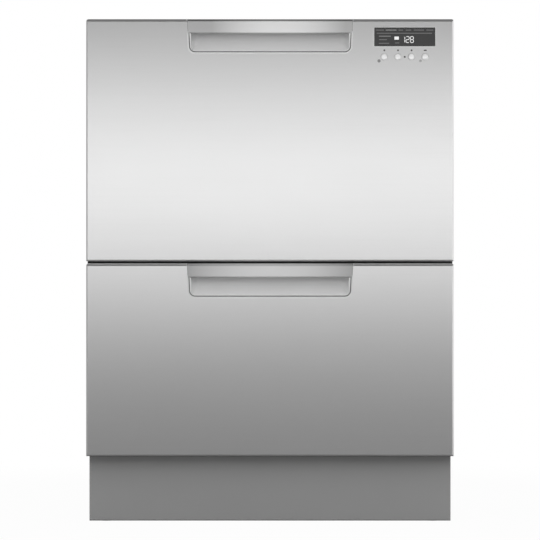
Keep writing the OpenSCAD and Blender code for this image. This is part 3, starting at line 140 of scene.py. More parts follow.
class Finish:
    """A material whose nodes are written as Python expressions."""

    def __init__(self, name, tree=None):
        if tree is None:
            self.material = bpy.data.materials.new(name)
            self.material.use_nodes = True
            tree = self.material.node_tree
        self.tree = tree
        self.tree.nodes.clear()

    def node(self, kind, settings=None, *ordered, out=0, at=None, **named):
        """Adds a node, sets it up, then fills its inputs in order, at their numbers and by name."""
        made = self.tree.nodes.new(kind)
        for key, value in (settings or {}).items():
            setattr(made, key, value)
        for place, value in [*enumerate(ordered), *(at or {}).items()]:
            self.feed(made.inputs[place], value)
        for key, value in named.items():
            self.feed(made.inputs[key.replace("_", " ")], value)
        return Tone(self, made.outputs[out]) if made.outputs else None

    def feed(self, entry, value):
        """Links a tone to an input, or writes a plain value into it."""
        if isinstance(value, Tone):
            self.tree.links.new(value.socket, entry)
        else:
            entry.default_value = value

    def coordinates(self, kind="Object"):
        return self.node("ShaderNodeTexCoord", None, out=kind)

    def axes(self, kind="Object"):
        """The three coordinates of a kind as numbers; those of an object are in metres."""
        split = self.node("ShaderNodeSeparateXYZ", None, self.coordinates(kind)).socket.node
        return [Tone(self, output) for output in split.outputs]

    def ray(self, kind):
        """One where the ray that asks is of this kind, else zero."""
        return self.node("ShaderNodeLightPath", None, out=f"Is {kind} Ray")

    def stretched(self, scale):
        """Object coordinates with each axis multiplied by its own number."""
        settings = {"vector_type": "POINT"}
        return self.node("ShaderNodeMapping", settings, self.coordinates(), Scale=scale)

    def grain(self, scale, detail=2.0, rough=0.5):
        """Soft noise from 0 to 1, with scale spots in a metre along each axis."""
        return self.node(
            "ShaderNodeTexNoise", {"noise_dimensions": "3D"},
            Vector=self.stretched(scale), Scale=1.0, Detail=detail, Roughness=rough,
        )

    def blend(self, share, one, two):
        """A colour that goes from one to two as share goes from 0 to 1."""
        ends = {0: share, 6: one, 7: two}
        return self.node("ShaderNodeMix", {"data_type": "RGBA"}, at=ends, out=2)

    def relief(self, height, depth):
        """A surface that rises by depth metres where height is 1."""
        bump = {"Strength": 1.0, "Distance": depth, "Height": height}
        return self.node("ShaderNodeBump", None, out="Normal", **bump)

    def surface(self, shader):
        """Ends the material with a shader, and gives it back."""
        self.node("ShaderNodeOutputMaterial", None, Surface=shader)
        return self.material

    def skin(self, **inputs):
        """Ends the material with one Principled shader."""
        return self.surface(self.node("ShaderNodeBsdfPrincipled", None, **inputs))


def grey(shade):
    return (shade, shade, shade, 1.0)


def tinted(colour, factor):
    """A colour made lighter or darker by a factor, with nothing above white."""
    return tuple(min(1.0, part * factor) for part in colour) + (1.0,)


# %% [markdown]
# ## Brushed stainless steel
#
# The fronts are brushed from side to side. Each stroke is a few centimetres long and a few
# hundredths of a millimetre wide, so the noise is stretched many times along the width. The
# strokes change how rough the steel is and tilt it a very little. From across a room they melt into
# an even sheen, and close up they show as fine lines. The fine lines could come from a picture of
# brushed steel, but a formula has no seams and no end. A grip bar is flat in the solid, so a
# reflection is painted into its colour: brightest at its middle and darker towards its ends, as a
# bar curved a little would show it. Shade is painted over the top of the upper bar, and the lower
# bar's steel is a copy painted darker.

# %% Steel
# Spots in a metre along each axis
FINE_STROKES, BROAD_STROKES, SMEARS = (14.0, 2600.0, 2600.0), (3.0, 420.0, 420.0), (2.5, 2.5, 5.0)
STROKE_DEPTH = 0.012 * MM


def steel(name, shade, roughness, strokes=0.06, painted_sheen=None, edge=None, marks=(), metal=1.0):
    """Horizontally brushed steel.

    The sheen, (middle, half width, drop, least), paints a reflection into the colour, brightest at its
    middle; edge = (height, drop) paints shade above a height; and each mark is a spot (x, z, half
    width, radius, shade), printed or a painted shadow: a disc, or with a half width a short dash with
    round ends. A spot is where the distance root(beside^2 + (z - mark z)^2) is under the radius, and
    beside is how far x lies past the half width.
    """
    finish = Finish(name)
    fine = finish.grain(FINE_STROKES, detail=3.0, rough=0.6)
    coarse = finish.grain(BROAD_STROKES, detail=2.0)
    smear = finish.grain(SMEARS, detail=3.0)
    line = fine * 0.6 + coarse * 0.4
    tone = 1.0 - (line - 0.5) * (strokes * 1.5) - (smear - 0.5) * 0.02
    if painted_sheen:
        centre, half, drop, least = painted_sheen
        across = ((finish.axes()[0] - centre) / half).size()
        tone = tone * (1.0 - (across ** 2.0) * drop).at_least(least)
    if edge:
        height, drop = edge
        tone = tone * (1.0 - (finish.axes()[2] > height) * drop)
    colour = finish.blend(tone, grey(0.0), grey(shade))
    shine = metal
    if marks:
        x, _, z = finish.axes()
    for mark_x, mark_z, half, radius, spot_shade in marks:
        beside = ((x - mark_x).size() - half).at_least(0.0)
        spot = (beside * beside + (z - mark_z) * (z - mark_z)) ** 0.5 < radius
        colour = finish.blend(spot, colour, grey(spot_shade))
        shine = shine - spot * 0.8
    rough = roughness + (line - 0.5) * strokes + (smear - 0.5) * 0.03
    return finish.skin(
        Base_Color=colour, Metallic=shine, Roughness=rough, Normal=finish.relief(line, STROKE_DEPTH),
    )


# %% Marks on the upper front
# Shade is painted round each button as a dark ring a little to its left, a painted shadow, and a
# small mark is printed over it: three dots, and a dash on the last
SHADOW_RING_R, SHADOW_RING_LEFT, SHADOW_RING_SHADE = 5.7 * MM, 0.4 * MM, 0.36
MARK_R, MARK_RISE, MARK_SHADE = 1.5 * MM, 10.5 * MM, 0.10
DASH_HALF, DASH_R = 1.3 * MM, 1.1 * MM
first_x, _, buttons_z = BUTTONS[0]
last_x, _, _ = BUTTONS[3]
button_prints_and_shadows = [(x - SHADOW_RING_LEFT, z, 0.0, SHADOW_RING_R, SHADOW_RING_SHADE) for x, _, z in BUTTONS]
button_prints_and_shadows += [(x, z + MARK_RISE, 0.0, MARK_R, MARK_SHADE) for x, _, z in BUTTONS[:3]]
button_prints_and_shadows.append((last_x, buttons_z + MARK_RISE, DASH_HALF, DASH_R, MARK_SHADE))

# Three small signal lamps: place along the front, drop below the buttons' middles, radius, shade
SIGNALS = (
    (first_x - 8.6 * MM, 6.8 * MM, 2.6 * MM, 0.28),
    (DISPLAY[0], 0.2 * MM, 1.5 * MM, 0.05),
    (last_x - 7.6 * MM, 6.6 * MM, 2.1 * MM, 0.42),
)
button_prints_and_shadows += [(x, buttons_z - drop, 0.0, radius, shade) for x, drop, radius, shade in SIGNALS]

# %% The steels of fronts and grips
# A grip's sheen is (middle, half width, drop, least): a painted reflection, brightest at the middle
# and darker towards the ends. The top shade is (height, drop): shade painted over the top GRIP_ROLL
# of the upper bar, where it rolls back.
GRIP_HALF = 134.5 * MM
GRIP_ROLL = 3.2 * MM
PAINTED_GRIP_SHEEN, LOW_PAINTED_GRIP_SHEEN = (14 * MM, GRIP_HALF, 0.66, 0.57), (0.0, GRIP_HALF, 0.43, 0.5)
PAINTED_TOP_SHADE = (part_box("upper_grip_bar")[1].z - GRIP_ROLL, 0.72)
front_steel = steel("front_steel", 0.80, 0.33)
panel_steel = steel("panel_steel", 0.80, 0.33, marks=button_prints_and_shadows)
grip_steel = steel("grip_steel", 0.93, 0.30, strokes=0.05, painted_sheen=PAINTED_GRIP_SHEEN, edge=PAINTED_TOP_SHADE, metal=0.55)
# The lower grip's steel is a copy of the upper one's painted darker: painted shade.
low_grip_steel_painted_shade = steel("low_grip_steel_painted_shade", 0.68, 0.30, strokes=0.05, painted_sheen=LOW_PAINTED_GRIP_SHEEN, metal=0.55)
# Four of these marks are painted shadows round the buttons, the rest are print.
print("steel for the fronts and grips, with", len(button_prints_and_shadows), "printed marks")


# %% [markdown]
# ## Zinc, plastic, paint and rubber
#
# Galvanised sheet has frost-like crystals a centimetre or so across, each a slightly different
# grey. Moulded plastic has a fine orange-peel grain from its tool, and paint is smoother than
# plastic. Rubber is dark, dull and a little dusty. Each could be one even colour, and from afar
# they would look the same, but close to a lamp an even surface looks like a drawing.

# %% Zinc sheet
CRYSTALS = (95.0, 95.0, 95.0)


def zinc_sheet(name, shade=0.55):
    """Crystals are the cells of a Voronoi pattern, and each cell has one random grey."""
    finish = Finish(name)
    crystal = finish.node(
        "ShaderNodeTexVoronoi", {"feature": "F1"},
        Vector=finish.stretched(CRYSTALS), Scale=1.0, out="Color",
    )
    frost = finish.node("ShaderNodeRGBToBW", None, crystal)
    smear = finish.grain((6.0, 6.0, 6.0), detail=4.0)
    colour = finish.blend(frost * 0.7 + smear * 0.3, grey(shade * 0.86), grey(shade * 1.14))
    rough = 0.36 + frost * 0.12 + (smear - 0.5) * 0.1
    return finish.skin(
        Base_Color=colour, Metallic=0.75, Roughness=rough, Normal=finish.relief(frost, 0.02 * MM),
    )


# %% Moulded plastic and paint
def moulded(name, colour, roughness=0.45, peel=0.03, spots=900.0):
    """Plastic from a tool with a fine grain: spots a metre, peel millimetres high."""
    finish = Finish(name)
    texture = finish.grain((spots, spots, spots), detail=2.0)
    cloud = finish.grain((9.0, 9.0, 9.0), detail=3.0)
    return finish.skin(
        Base_Color=finish.blend(cloud, tinted(colour, 0.95), tinted(colour, 1.05)),
        Roughness=roughness + (texture - 0.5) * 0.10 + (cloud - 0.5) * 0.06,
        Normal=finish.relief(texture, peel * MM),
    )


def painted(name, colour, roughness=0.4):
    """Sprayed paint: a very shallow orange peel, and a cloud that shifts its colour a little."""
    finish = Finish(name)
    peel = finish.grain((260.0, 260.0, 260.0), detail=1.0)
    cloud = finish.grain((5.0, 5.0, 5.0), detail=3.0)
    return finish.skin(
        Base_Color=finish.blend(cloud, tinted(colour, 0.97), tinted(colour, 1.03)),
        Roughness=roughness + (cloud - 0.5) * 0.05, Normal=finish.relief(peel, 0.01 * MM),
    )


def rubbery(name, shade=0.03):
    """Dust is a noise that lightens the rubber and makes it duller."""
    finish = Finish(name)
    dust = finish.grain((60.0, 60.0, 60.0), detail=4.0)
    return finish.skin(
        Base_Color=finish.blend(dust, grey(shade * 0.8), grey(shade * 1.3)),
        Roughness=0.6 + (dust - 0.5) * 0.2, Normal=finish.relief(dust, 0.02 * MM),
    )


# %% The finishes inside and out
zinc = zinc_sheet("zinc")
inner_plastic = moulded("inner_plastic", (0.22, 0.225, 0.235))
scoop_paint = painted("scoop_paint", (0.70, 0.70, 0.70), roughness=0.5)
# The lower scoop's paint is a copy of the upper one's painted lighter: painted light.
low_scoop_paint_painted_light = painted("low_scoop_paint_painted_light", (0.79, 0.79, 0.79), roughness=0.5)
# The rim paint also colours the folds round the scoops, where its pale matt grey is a painted highlight.
rim_and_highlight_paint = painted("rim_and_highlight_paint", (0.69, 0.69, 0.69), roughness=0.4)
# This near-black paint fills the gap round each scoop and the rim beside it: a painted shadow.
gap_shadow_paint = painted("gap_shadow_paint", (0.07, 0.07, 0.07), roughness=0.6)
tub_plastic = moulded("tub_plastic", (0.52, 0.535, 0.55), roughness=0.36, peel=0.012)
grey_plastic = moulded("grey_plastic", (0.20, 0.215, 0.245), roughness=0.42)
arm_plastic = moulded("arm_plastic", (0.30, 0.315, 0.34), roughness=0.4)
base_plastic = moulded("base_plastic", (0.10, 0.105, 0.11), roughness=0.5)
motor_plastic = moulded("motor_plastic", (0.02, 0.02, 0.022), roughness=0.4)
white_plastic = moulded("white_plastic", (0.74, 0.74, 0.71), roughness=0.35)
dispenser_plastic = moulded("dispenser_plastic", (0.62, 0.63, 0.62), roughness=0.35)
foot_plastic = moulded("foot_plastic", (0.018, 0.018, 0.019), roughness=0.5)
kick_paint = painted("kick_paint", (0.33, 0.33, 0.33), roughness=0.5)
# The bay divider is painted near black, a painted shade for the gap between the fronts.
divider_painted_shade = painted("divider_painted_shade", (0.05, 0.05, 0.052), roughness=0.5)
nylon = painted("nylon", (0.12, 0.135, 0.17), roughness=0.4)
rubber = rubbery("rubber")
filter_steel = steel("filter_steel", 0.70, 0.32, strokes=0.05, metal=0.8)
button_metal = steel("button_metal", 0.92, 0.36, strokes=0.03, metal=0.3)
print("zinc, plastics, paints, rubber and the inner steels are made")


# %% [markdown]
# ## The display window
#
# The window is a smoked plastic plate. A real one lets a little light through, but nothing behind
# it can be seen, so a dark, smooth and closed surface looks the same and renders much faster.

# %% Smoked display window
def smoked(name):
    """Dark plastic whose faint haze changes its grey and its gloss a little."""
    finish = Finish(name)
    haze = finish.grain((40.0, 40.0, 40.0), detail=3.0)
    return finish.skin(
        Base_Color=finish.blend(haze, grey(0.046), grey(0.052)),
        Roughness=0.22 + (haze - 0.5) * 0.04, Coat_Weight=0.0, IOR=1.46,
    )


display_glass = smoked("display_glass")
print("the window is", display_high.x - display_low.x, "metres wide")

# %% [markdown]
# ## Which solid gets which finish
#
# The solids are sorted by what the real part is made of, but the bay divider is painted near black,
# a painted shade for the gap between the fronts. Both drawers hold the same parts, so the table
# leaves the drawer's name out, and the few solids that differ between them are named first; the
# lower grip bar and scoop take copies painted darker and lighter, painted shade and painted light.

# %% Dress the solids
FINISHES = {
    "side_panel_left": zinc, "side_panel_right": zinc, "top_panel": zinc, "back_panel": zinc,
    "bay_divider": divider_painted_shade, "worktop_brackets": zinc, "cabinet_rails": zinc,
    "base_pan": base_plastic, "lid_lifts": base_plastic, "drain_outlet": base_plastic,
    "front_trim": rubber, "mains_gland": rubber, "kick_strip": kick_paint,
    "inlet_valve": white_plastic, "control_module": white_plastic,
    "display_window": display_glass,
    "front_skin": front_steel, "inner_front": inner_plastic, "handle_scoop": scoop_paint,
    "grip_bar": grip_steel, "tub": tub_plastic, "filter_plate": filter_steel,
    "wash_motor": motor_plastic, "drawer_rails": zinc, "middle_rails": zinc, "rack": nylon,
    "cutlery_basket": grey_plastic, "dispenser": dispenser_plastic,
    "dispenser_door": arm_plastic, "spray_arm": arm_plastic, "fold_tines": nylon,
    "cup_shelf": nylon, "lid": tub_plastic, "lid_seal": rubber,
}


def dress(node):
    """Gives a solid its finish through the slots of its object."""
    first, _, rest = node.partition("_")
    short = rest if first in DRAWERS else node
    if node.startswith("foot_"):
        chosen = foot_plastic
    elif node.startswith("button_"):
        chosen = button_metal
    elif node == "upper_front_skin":
        chosen = panel_steel
    elif node == "lower_grip_bar":
        chosen = low_grip_steel_painted_shade
    elif node == "lower_handle_scoop":
        chosen = low_scoop_paint_painted_light
    else:
        chosen = FINISHES[short]
    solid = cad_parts[node]
    if not solid.material_slots:
        solid.data.materials.append(chosen)
    for place in solid.material_slots:
        place.material = chosen


for node_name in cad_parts:
    dress(node_name)
print("dressed", len(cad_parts), "solids")


# %% [markdown]
# ## New pieces from grids of points
#
# A round wire is a grid of points: one direction runs along the wire and the other around it. The
# grid is worked out for the whole wire at once with NumPy, and its faces join each point with the
# next one in both directions. A bent wire first needs its line, where each corner becomes an arc.
# A curve with a bevel would give round wires too, but a grid also serves for screws, threads and
# folds, and it says exactly where each point lies.

# %% Grids, tubes and turned forms
def quads(rows, columns, ring_rows=False, ring_columns=True):
    """Corner numbers of the faces between the points of a grid, listed row after row.

    The face of row r and column c has the points (r, c), (r, c + 1), (r + 1, c + 1) and (r + 1, c).
    With ring_rows or ring_columns the last ones join the first.
    """
    row, column = np.meshgrid(
        np.arange(rows if ring_rows else rows - 1),
        np.arange(columns if ring_columns else columns - 1), indexing="ij",
    )
    next_row, next_column = (row + 1) % rows, (column + 1) % columns
    corners = [(row, column), (row, next_column), (next_row, next_column), (next_row, column)]
    return np.stack([r * columns + c for r, c in corners], axis=-1).reshape(-1, 4)


def tube(path, radius, up, sides=12):
    """P(s, t) = path(s) + radius * (cos t * up + sin t * side(s)), closed by a dome at both ends."""
    path, up = np.array(path, float), np.array(up, float)
    ahead = np.gradient(path, axis=0)
    ahead /= np.linalg.norm(ahead, axis=1, keepdims=True)
    # The rings of a dome lie at these angles from its rim, the pole first
    dome = np.radians([90.0, 60.0, 30.0])
    reach, width = radius * np.sin(dome)[:, None], np.cos(dome)
    line = np.concatenate([path[0] - ahead[0] * reach, path, (path[-1] + ahead[-1] * reach)[::-1]])
    ahead = np.concatenate([[ahead[0]] * 3, ahead, [ahead[-1]] * 3])
    width = np.concatenate([width, np.ones(len(path)), width[::-1]])[:, None, None]
    side = np.cross(ahead, up)
    t = np.linspace(0, 2 * np.pi, sides, endpoint=False)[None, :, None]
    round_part = np.cos(t) * up[None, None] + np.sin(t) * side[:, None]
    grid = line[:, None] + radius * width * round_part
    return grid.reshape(-1, 3), quads(len(line), sides)


def bent_line(corners, radius, steps=6):
    """The line through corners, with each inner corner replaced by an arc of the radius.

    With start and finish as seen from the centre of the arc, its points are
    (sin((1 - t) turn) start + sin(t turn) finish) / sin(turn) for t from 0 to 1.
    """
    corners = [np.array(c, float) for c in corners]
    line = [corners[0]]
    for before, here, after in zip(corners, corners[1:], corners[2:]):
        u = (before - here) / np.linalg.norm(before - here)
        v = (after - here) / np.linalg.norm(after - here)
        half = math.acos(np.clip(u @ v, -1, 1)) / 2
        centre = here + (u + v) / np.linalg.norm(u + v) * radius / math.sin(half)
        start = here + u * radius / math.tan(half) - centre
        finish = here + v * radius / math.tan(half) - centre
        turn = math.pi - 2 * half
        t = np.linspace(0, 1, steps + 1)[:, None]
        arc = start * np.sin((1 - t) * turn) + finish * np.sin(t * turn)
        line.extend(centre + arc / math.sin(turn))
    return np.array(line + [corners[-1]])


def turned(profile, place, axis, sides=32):
    """A turned form: each (radius, height) of the profile goes round the axis through place."""
    profile, place, axis = np.array(profile, float), np.array(place, float), np.array(axis, float)
    one = np.cross(axis, (0.0, 0.0, 1.0) if abs(axis[2]) < 0.5 else (1.0, 0.0, 0.0))
    two = np.cross(axis, one)
    t = np.linspace(0, 2 * np.pi, sides, endpoint=False)[None, :, None]
    around = profile[:, 0, None, None] * (np.cos(t) * one + np.sin(t) * two)
    grid = place + around + profile[:, 1, None, None] * axis
    return grid.reshape(-1, 3), quads(len(profile), sides)


def piece(name, surfaces, finish, body, replaces=(), sharp=35):
    """One object from surfaces (points, faces), with normals outwards, on a body of the frame."""
    points, faces, count = [], [], 0
    for part_points, part_faces in surfaces:
        points.append(part_points)
        faces.append(part_faces + count)
        count += len(part_points)
    mesh = bpy.data.meshes.new(name)
    mesh.from_pydata(np.concatenate(points).tolist(), [], np.concatenate(faces).tolist())
    work = bmesh.new()
    work.from_mesh(mesh)
    bmesh.ops.remove_doubles(work, verts=work.verts, dist=1e-6)
    bmesh.ops.recalc_face_normals(work, faces=work.faces)
    work.to_mesh(mesh)
    work.free()
    mesh.polygons.foreach_set("use_smooth", [True] * len(mesh.polygons))
    mesh.set_sharp_from_angle(angle=math.radians(sharp))
    mesh.materials.append(finish)
    thing = bpy.data.objects.new(name, mesh)
    bpy.context.scene.collection.objects.link(thing)
    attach(thing, body)
    if replaces:
        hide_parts(*replaces)
    print(f"{name}: {len(mesh.polygons)} faces")
    return thing


# %% [markdown]
# ## Racks of round wire
#
# In the solids a wire is square, because a bent strip is simple to cut from a profile. Here each
# wire is round and follows the middle line of its solid. The places come from the box of the rack:
# the outermost wires touch it, and the floor wires divide it into equal parts. The square wires
# could be given a bevel instead, but their welded joints would still show corners.

# %% Sizes of the racks
# WIRE is the thickness of the solid wires, and SEAM the gap that a weld fills. WIRE_R is a little
# over half of WIRE, so that round wires that cross still touch, as welded ones do.
WIRE, SEAM, WIRE_R, WIRE_BEND = 4 * MM, 0.02 * MM, 2.05 * MM, 8 * MM
ACROSS_WIRES, ALONG_WIRES = 9, 10
# Heights of the lowest wires over the feet, and of the low rail under the rim
RACK_LIFT, RAIL_DROP = 46 * MM, 62 * MM
# Fixed tines stand in a row on one lengthwise wire, from the first cross wire to the last
TINE_ROW, TINE_R, TINE_H, TINE_PITCH = 7, 1.6 * MM, 66 * MM, 32 * MM
TINES_AFTER, TINES_BEFORE, TINE_SINK = 16 * MM, 12 * MM, 1 * MM
# A clip holds the shaft of the folding tines, with a little play round it
CLIP_HALF, CLIP_T, SHAFT_PLAY = 5 * MM, 5 * MM, 0.3 * MM
FOOT_R = 3 * MM
print("a rack has", ACROSS_WIRES, "wires across and", ALONG_WIRES, "along")


# %% Racks
def clip(x, y, z, bore, half, thick):
    """A bearing: a rounded square plate with a round bore, thick along y.

    Its outline is r(t) = half / (|cos t|^6 + |sin t|^6)^(1/6), a square with soft corners.
    """
    t = np.linspace(0, 2 * np.pi, 48, endpoint=False)
    square = half / (np.abs(np.cos(t)) ** 6 + np.abs(np.sin(t)) ** 6) ** (1 / 6)
    rows = [(square, -1), (square, 1), (np.full_like(t, bore), 1), (np.full_like(t, bore), -1)]
    grid = [
        np.stack([x + r * np.cos(t), np.full_like(t, y + side * thick / 2), z + r * np.sin(t)], axis=-1)
        for r, side in rows
    ]
    return np.array(grid).reshape(-1, 3), quads(4, len(t), ring_rows=True)


def rack(drawer):
    """All wires of one rack, as tubes along lines that are bent like the real wires.

    In turn: the wires across, the wires along, the two side loops, the rails of front and back, the
    fixed tines, the feet, and the clips of the folding tines.
    """
    low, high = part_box(f"{drawer}_rack")
    half = high.x - WIRE - SEAM
    y0, y1 = low.y + 2 * (WIRE + SEAM), high.y - 2 * (WIRE + SEAM)
    floor_z = low.z + RACK_LIFT + WIRE / 2
    along_z = floor_z + WIRE + SEAM
    side_z, rail_z = high.z - WIRE / 2, high.z - WIRE / 2 - RAIL_DROP
    inner = half - WIRE / 2
    wires = []
    ys = np.linspace(y0, y1, ACROSS_WIRES + 2)[1:-1]
    for y in ys:
        corners = [(-inner, y, side_z), (-inner, y, floor_z), (inner, y, floor_z), (inner, y, side_z)]
        wires.append(tube(bent_line(corners, WIRE_BEND), WIRE_R, (0, 1, 0)))
    xs = np.linspace(-half, half, ALONG_WIRES + 2)[1:-1]
    front, back = y0 + WIRE / 2, y1 - WIRE / 2
    for x in xs:
        corners = [(x, front, rail_z), (x, front, along_z), (x, back, along_z), (x, back, rail_z)]
        wires.append(tube(bent_line(corners, WIRE_BEND), WIRE_R, (1, 0, 0)))
    loop_x = high.x - WIRE / 2
    post0, post1 = low.y + WIRE / 2, high.y - WIRE / 2
    for x in (-loop_x, loop_x):
        corners = [
            (x, 0, rail_z), (x, post0, rail_z), (x, post0, side_z),
            (x, post1, side_z), (x, post1, rail_z), (x, 0, rail_z),
        ]
        wires.append(tube(bent_line(corners, WIRE_BEND), WIRE_R, (1, 0, 0)))
    for y in (y0 - WIRE / 2 - SEAM, y1 + WIRE / 2 + SEAM):
        wires.append(tube([(-half, y, rail_z), (0, y, rail_z), (half, y, rail_z)], WIRE_R, (0, 1, 0)))
    tine_x, tine_z = xs[TINE_ROW - 1], along_z + WIRE / 2 - TINE_SINK
    for y in np.arange(ys[0] + TINES_AFTER, ys[-1] - TINES_BEFORE, TINE_PITCH):
        tine = [(tine_x, y, tine_z), (tine_x, y, tine_z + TINE_H - TINE_SINK)]
        wires.append(tube(tine, TINE_R, (0, 1, 0)))
    for x in (-xs[-1], xs[-1]):
        for y in (ys[0], ys[-1]):
            wires.append(tube([(x, y, low.z + FOOT_R), (x, y, floor_z)], FOOT_R, (0, 1, 0)))
    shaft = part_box(f"{drawer}_fold_tines")[0]
    for y in (ys[0], ys[-1]):
        bore = WIRE / 2 + SHAFT_PLAY
        wires.append(clip(shaft.x + WIRE / 2, y, shaft.z + WIRE / 2, bore, CLIP_HALF, CLIP_T))
    piece(f"{drawer}_rack_wires", wires, nylon, f"{drawer}_drawer", [f"{drawer}_rack"])


for drawer_name in DRAWERS:
    rack(drawer_name)


# %% [markdown]
# ## What the display shows
#
# The window shows three digits made of bars, a small lit rectangle, and faint lines where a real
# machine prints its settings. Each bar is a thin plate just in front of the smoked window. A
# pattern in the window's own finish could draw them too, but plates keep sharp edges at any size.

# %% Glowing prints
def lit(name, strength):
    """A white print that glows by strength, with a faint cloud in it."""
    finish = Finish(name)
    cloud = finish.grain((300.0, 300.0, 300.0), detail=2.0)
    return finish.skin(
        Base_Color=finish.blend(cloud, grey(0.1), grey(0.12)), Roughness=0.4,
        Emission_Color=finish.blend(cloud, grey(0.96), grey(1.0)), Emission_Strength=strength,
    )


bright_print = lit("bright_print", 0.8)
dim_print = lit("dim_print", 0.10)
faint_print = lit("faint_print", 0.035)
print("three prints glow on the window")


# %% Plates, dashes and digits
WINDOW_Y = display_low.y
PLATE_T = 0.05 * MM


def flat(outline):
    """A thin plate from an outline of (x, z), standing just in front of the window.

    Its rows are the middle, the outline at the front, the outline at the back and the middle.
    """
    outline = np.array(outline, float)
    n = len(outline)
    rows = [
        np.stack([outline[:, 0], np.full(n, WINDOW_Y - depth), outline[:, 1]], axis=-1)
        for depth in (PLATE_T, PLATE_T / 5)
    ]
    centre = [row.mean(axis=0, keepdims=True).repeat(n, axis=0) for row in rows]
    grid = np.array([centre[0], rows[0], rows[1], centre[1]])
    return grid.reshape(-1, 3), quads(4, n)


def bar(x0, x1, z, height):
    """A horizontal dash with round ends: two half circles of radius height / 2, joined."""
    t = np.linspace(-np.pi / 2, np.pi / 2, 7)
    r = height / 2
    right = np.stack([x1 - r + r * np.cos(t), z + r * np.sin(t)], axis=-1)
    left = np.stack([x0 + r - r * np.cos(t), z - r * np.sin(t)], axis=-1)
    return flat(np.concatenate([right, left]))


# A bar stops short of its corners by this share of its thickness
BAR_GAP = 0.15
# The bars of a digit, each from corner to corner of a cell one wide and two high, and the bars that
# each digit uses
BARS = {
    "a": ((0, 2), (1, 2)), "b": ((1, 2), (1, 1)), "c": ((1, 1), (1, 0)), "d": ((0, 0), (1, 0)),
    "e": ((0, 1), (0, 0)), "f": ((0, 2), (0, 1)), "g": ((0, 1), (1, 1)),
}
DIGITS = {"1": "bc", "2": "abged", "8": "abcdefg"}


def digit(which, x, z, cell, thick):
    """Bars of one digit whose lower left corner is at (x, z); each bar is a slim hexagon."""
    made = []
    for name in DIGITS[which]:
        start, stop = (np.array(corner, float) * cell for corner in BARS[name])
        along = (stop - start) / np.linalg.norm(stop - start)
        across = np.array([-along[1], along[0]])
        start, stop = start + along * thick * BAR_GAP, stop - along * thick * BAR_GAP
        side, tip = across * thick / 2, along * thick / 2
        one_side = [start + tip - side, stop - tip - side]
        other_side = [stop - tip + side, start + tip + side]
        made.append(flat(np.array([start, *one_side, stop, *other_side]) + (x, z)))
    return made


# %% Display
# Places on the window are millimetres right of the printed area's left edge and down from its top
PRINT_EDGE = 3 * MM
LEFT, TOP = display_low.x + PRINT_EDGE, display_high.z - PRINT_EDGE
CELL, BAR_T = 4.9 * MM, 1.1 * MM
DIGITS_RIGHT, DIGITS_DOWN, DIGIT_STEP = 45.4, 25.0, 7.0
RECTANGLE = ((33.4, 15.2), (33.4, 20.2), (40.6, 20.2), (40.6, 15.2))
# Dashes: left end, right end, how far down, thickness
BRIGHTER = ((19.0, 37.0, 4.6, 1.7), (8.0, 27.6, 14.6, 1.5))
FAINT = (
    (3.0, 16.6, 4.6, 1.5), (39.8, 47.6, 4.6, 1.5), (51.6, 60.8, 4.6, 1.5),
    (64.6, 81.8, 4.6, 1.5), (85.2, 97.0, 4.6, 1.5), (4.4, 95.0, 9.8, 1.5),
    (8.0, 21.4, 20.2, 1.5), (8.0, 25.0, 26.2, 1.5), (34.2, 41.6, 25.6, 1.5),
)


def dashes(rows):
    """One bar for each row of a table of dashes."""
    return [bar(LEFT + a * MM, LEFT + b * MM, TOP - c * MM, d * MM) for a, b, c, d in rows]


digits = []
for order, which in enumerate("128"):
    digit_x = LEFT + (DIGITS_RIGHT + order * DIGIT_STEP) * MM
    digits += digit(which, digit_x, TOP - DIGITS_DOWN * MM, CELL, BAR_T)
digits.append(flat([(LEFT + a * MM, TOP - b * MM) for a, b in RECTANGLE]))
piece("display_digits", digits, bright_print, "upper_drawer")
piece("display_bright_lines", dashes(BRIGHTER), dim_print, "upper_drawer")
piece("display_faint_lines", dashes(FAINT), faint_print, "upper_drawer")


# %% [markdown]
# ## The bevel round the window
#
# The cut edge of the steel round the window catches the light as a thin line. A bevel modifier on
# the front would change every edge of it, so the line is a ring of its own: the window's outline,
# drawn three times, a little outside, a little inside and outside again but further back.

# %% Bevel round the display window
BEVEL_IN, BEVEL_OUT = 0.35 * MM, 0.28 * MM
WINDOW_HALF_X, WINDOW_HALF_Z, WINDOW_R = 50.2 * MM, 15.7 * MM, 1.6 * MM


def round_outline(x0, x1, z0, z1, r, steps=8):
    """A rectangle with round corners, as points (x, z) that go round once.

    Each quarter is its centre + r * (cos a, sin a), and a straight side joins it to the next.
    """
    t = np.linspace(0, np.pi / 2, steps)
    centres = [(x1 - r, z1 - r), (x0 + r, z1 - r), (x0 + r, z0 + r), (x1 - r, z0 + r)]
    corners = []
    for quarter, (cx, cz) in enumerate(centres):
        a = t + quarter * np.pi / 2
        corners.append(np.stack([cx + r * np.cos(a), cz + r * np.sin(a)], axis=-1))
    return np.concatenate(corners)


def bevel_ring(grow, depth):
    """The window's outline grown by a distance, at a depth behind the face of the fronts."""
    x, _, z = DISPLAY
    half_x, half_z = WINDOW_HALF_X + grow, WINDOW_HALF_Z + grow
    outline = round_outline(x - half_x, x + half_x, z - half_z, z + half_z, WINDOW_R + grow)
    return np.stack([outline[:, 0], np.full(len(outline), FRONT_Y + depth), outline[:, 1]], axis=-1)


bevel = np.array([
    bevel_ring(BEVEL_OUT, 0.05 * MM), bevel_ring(-BEVEL_IN, 0.28 * MM), bevel_ring(BEVEL_OUT, 0.29 * MM),
])
piece(
    "display_bezel", [(bevel.reshape(-1, 3), quads(3, bevel.shape[1], ring_rows=True))],
    button_metal, "upper_drawer", sharp=20,
)


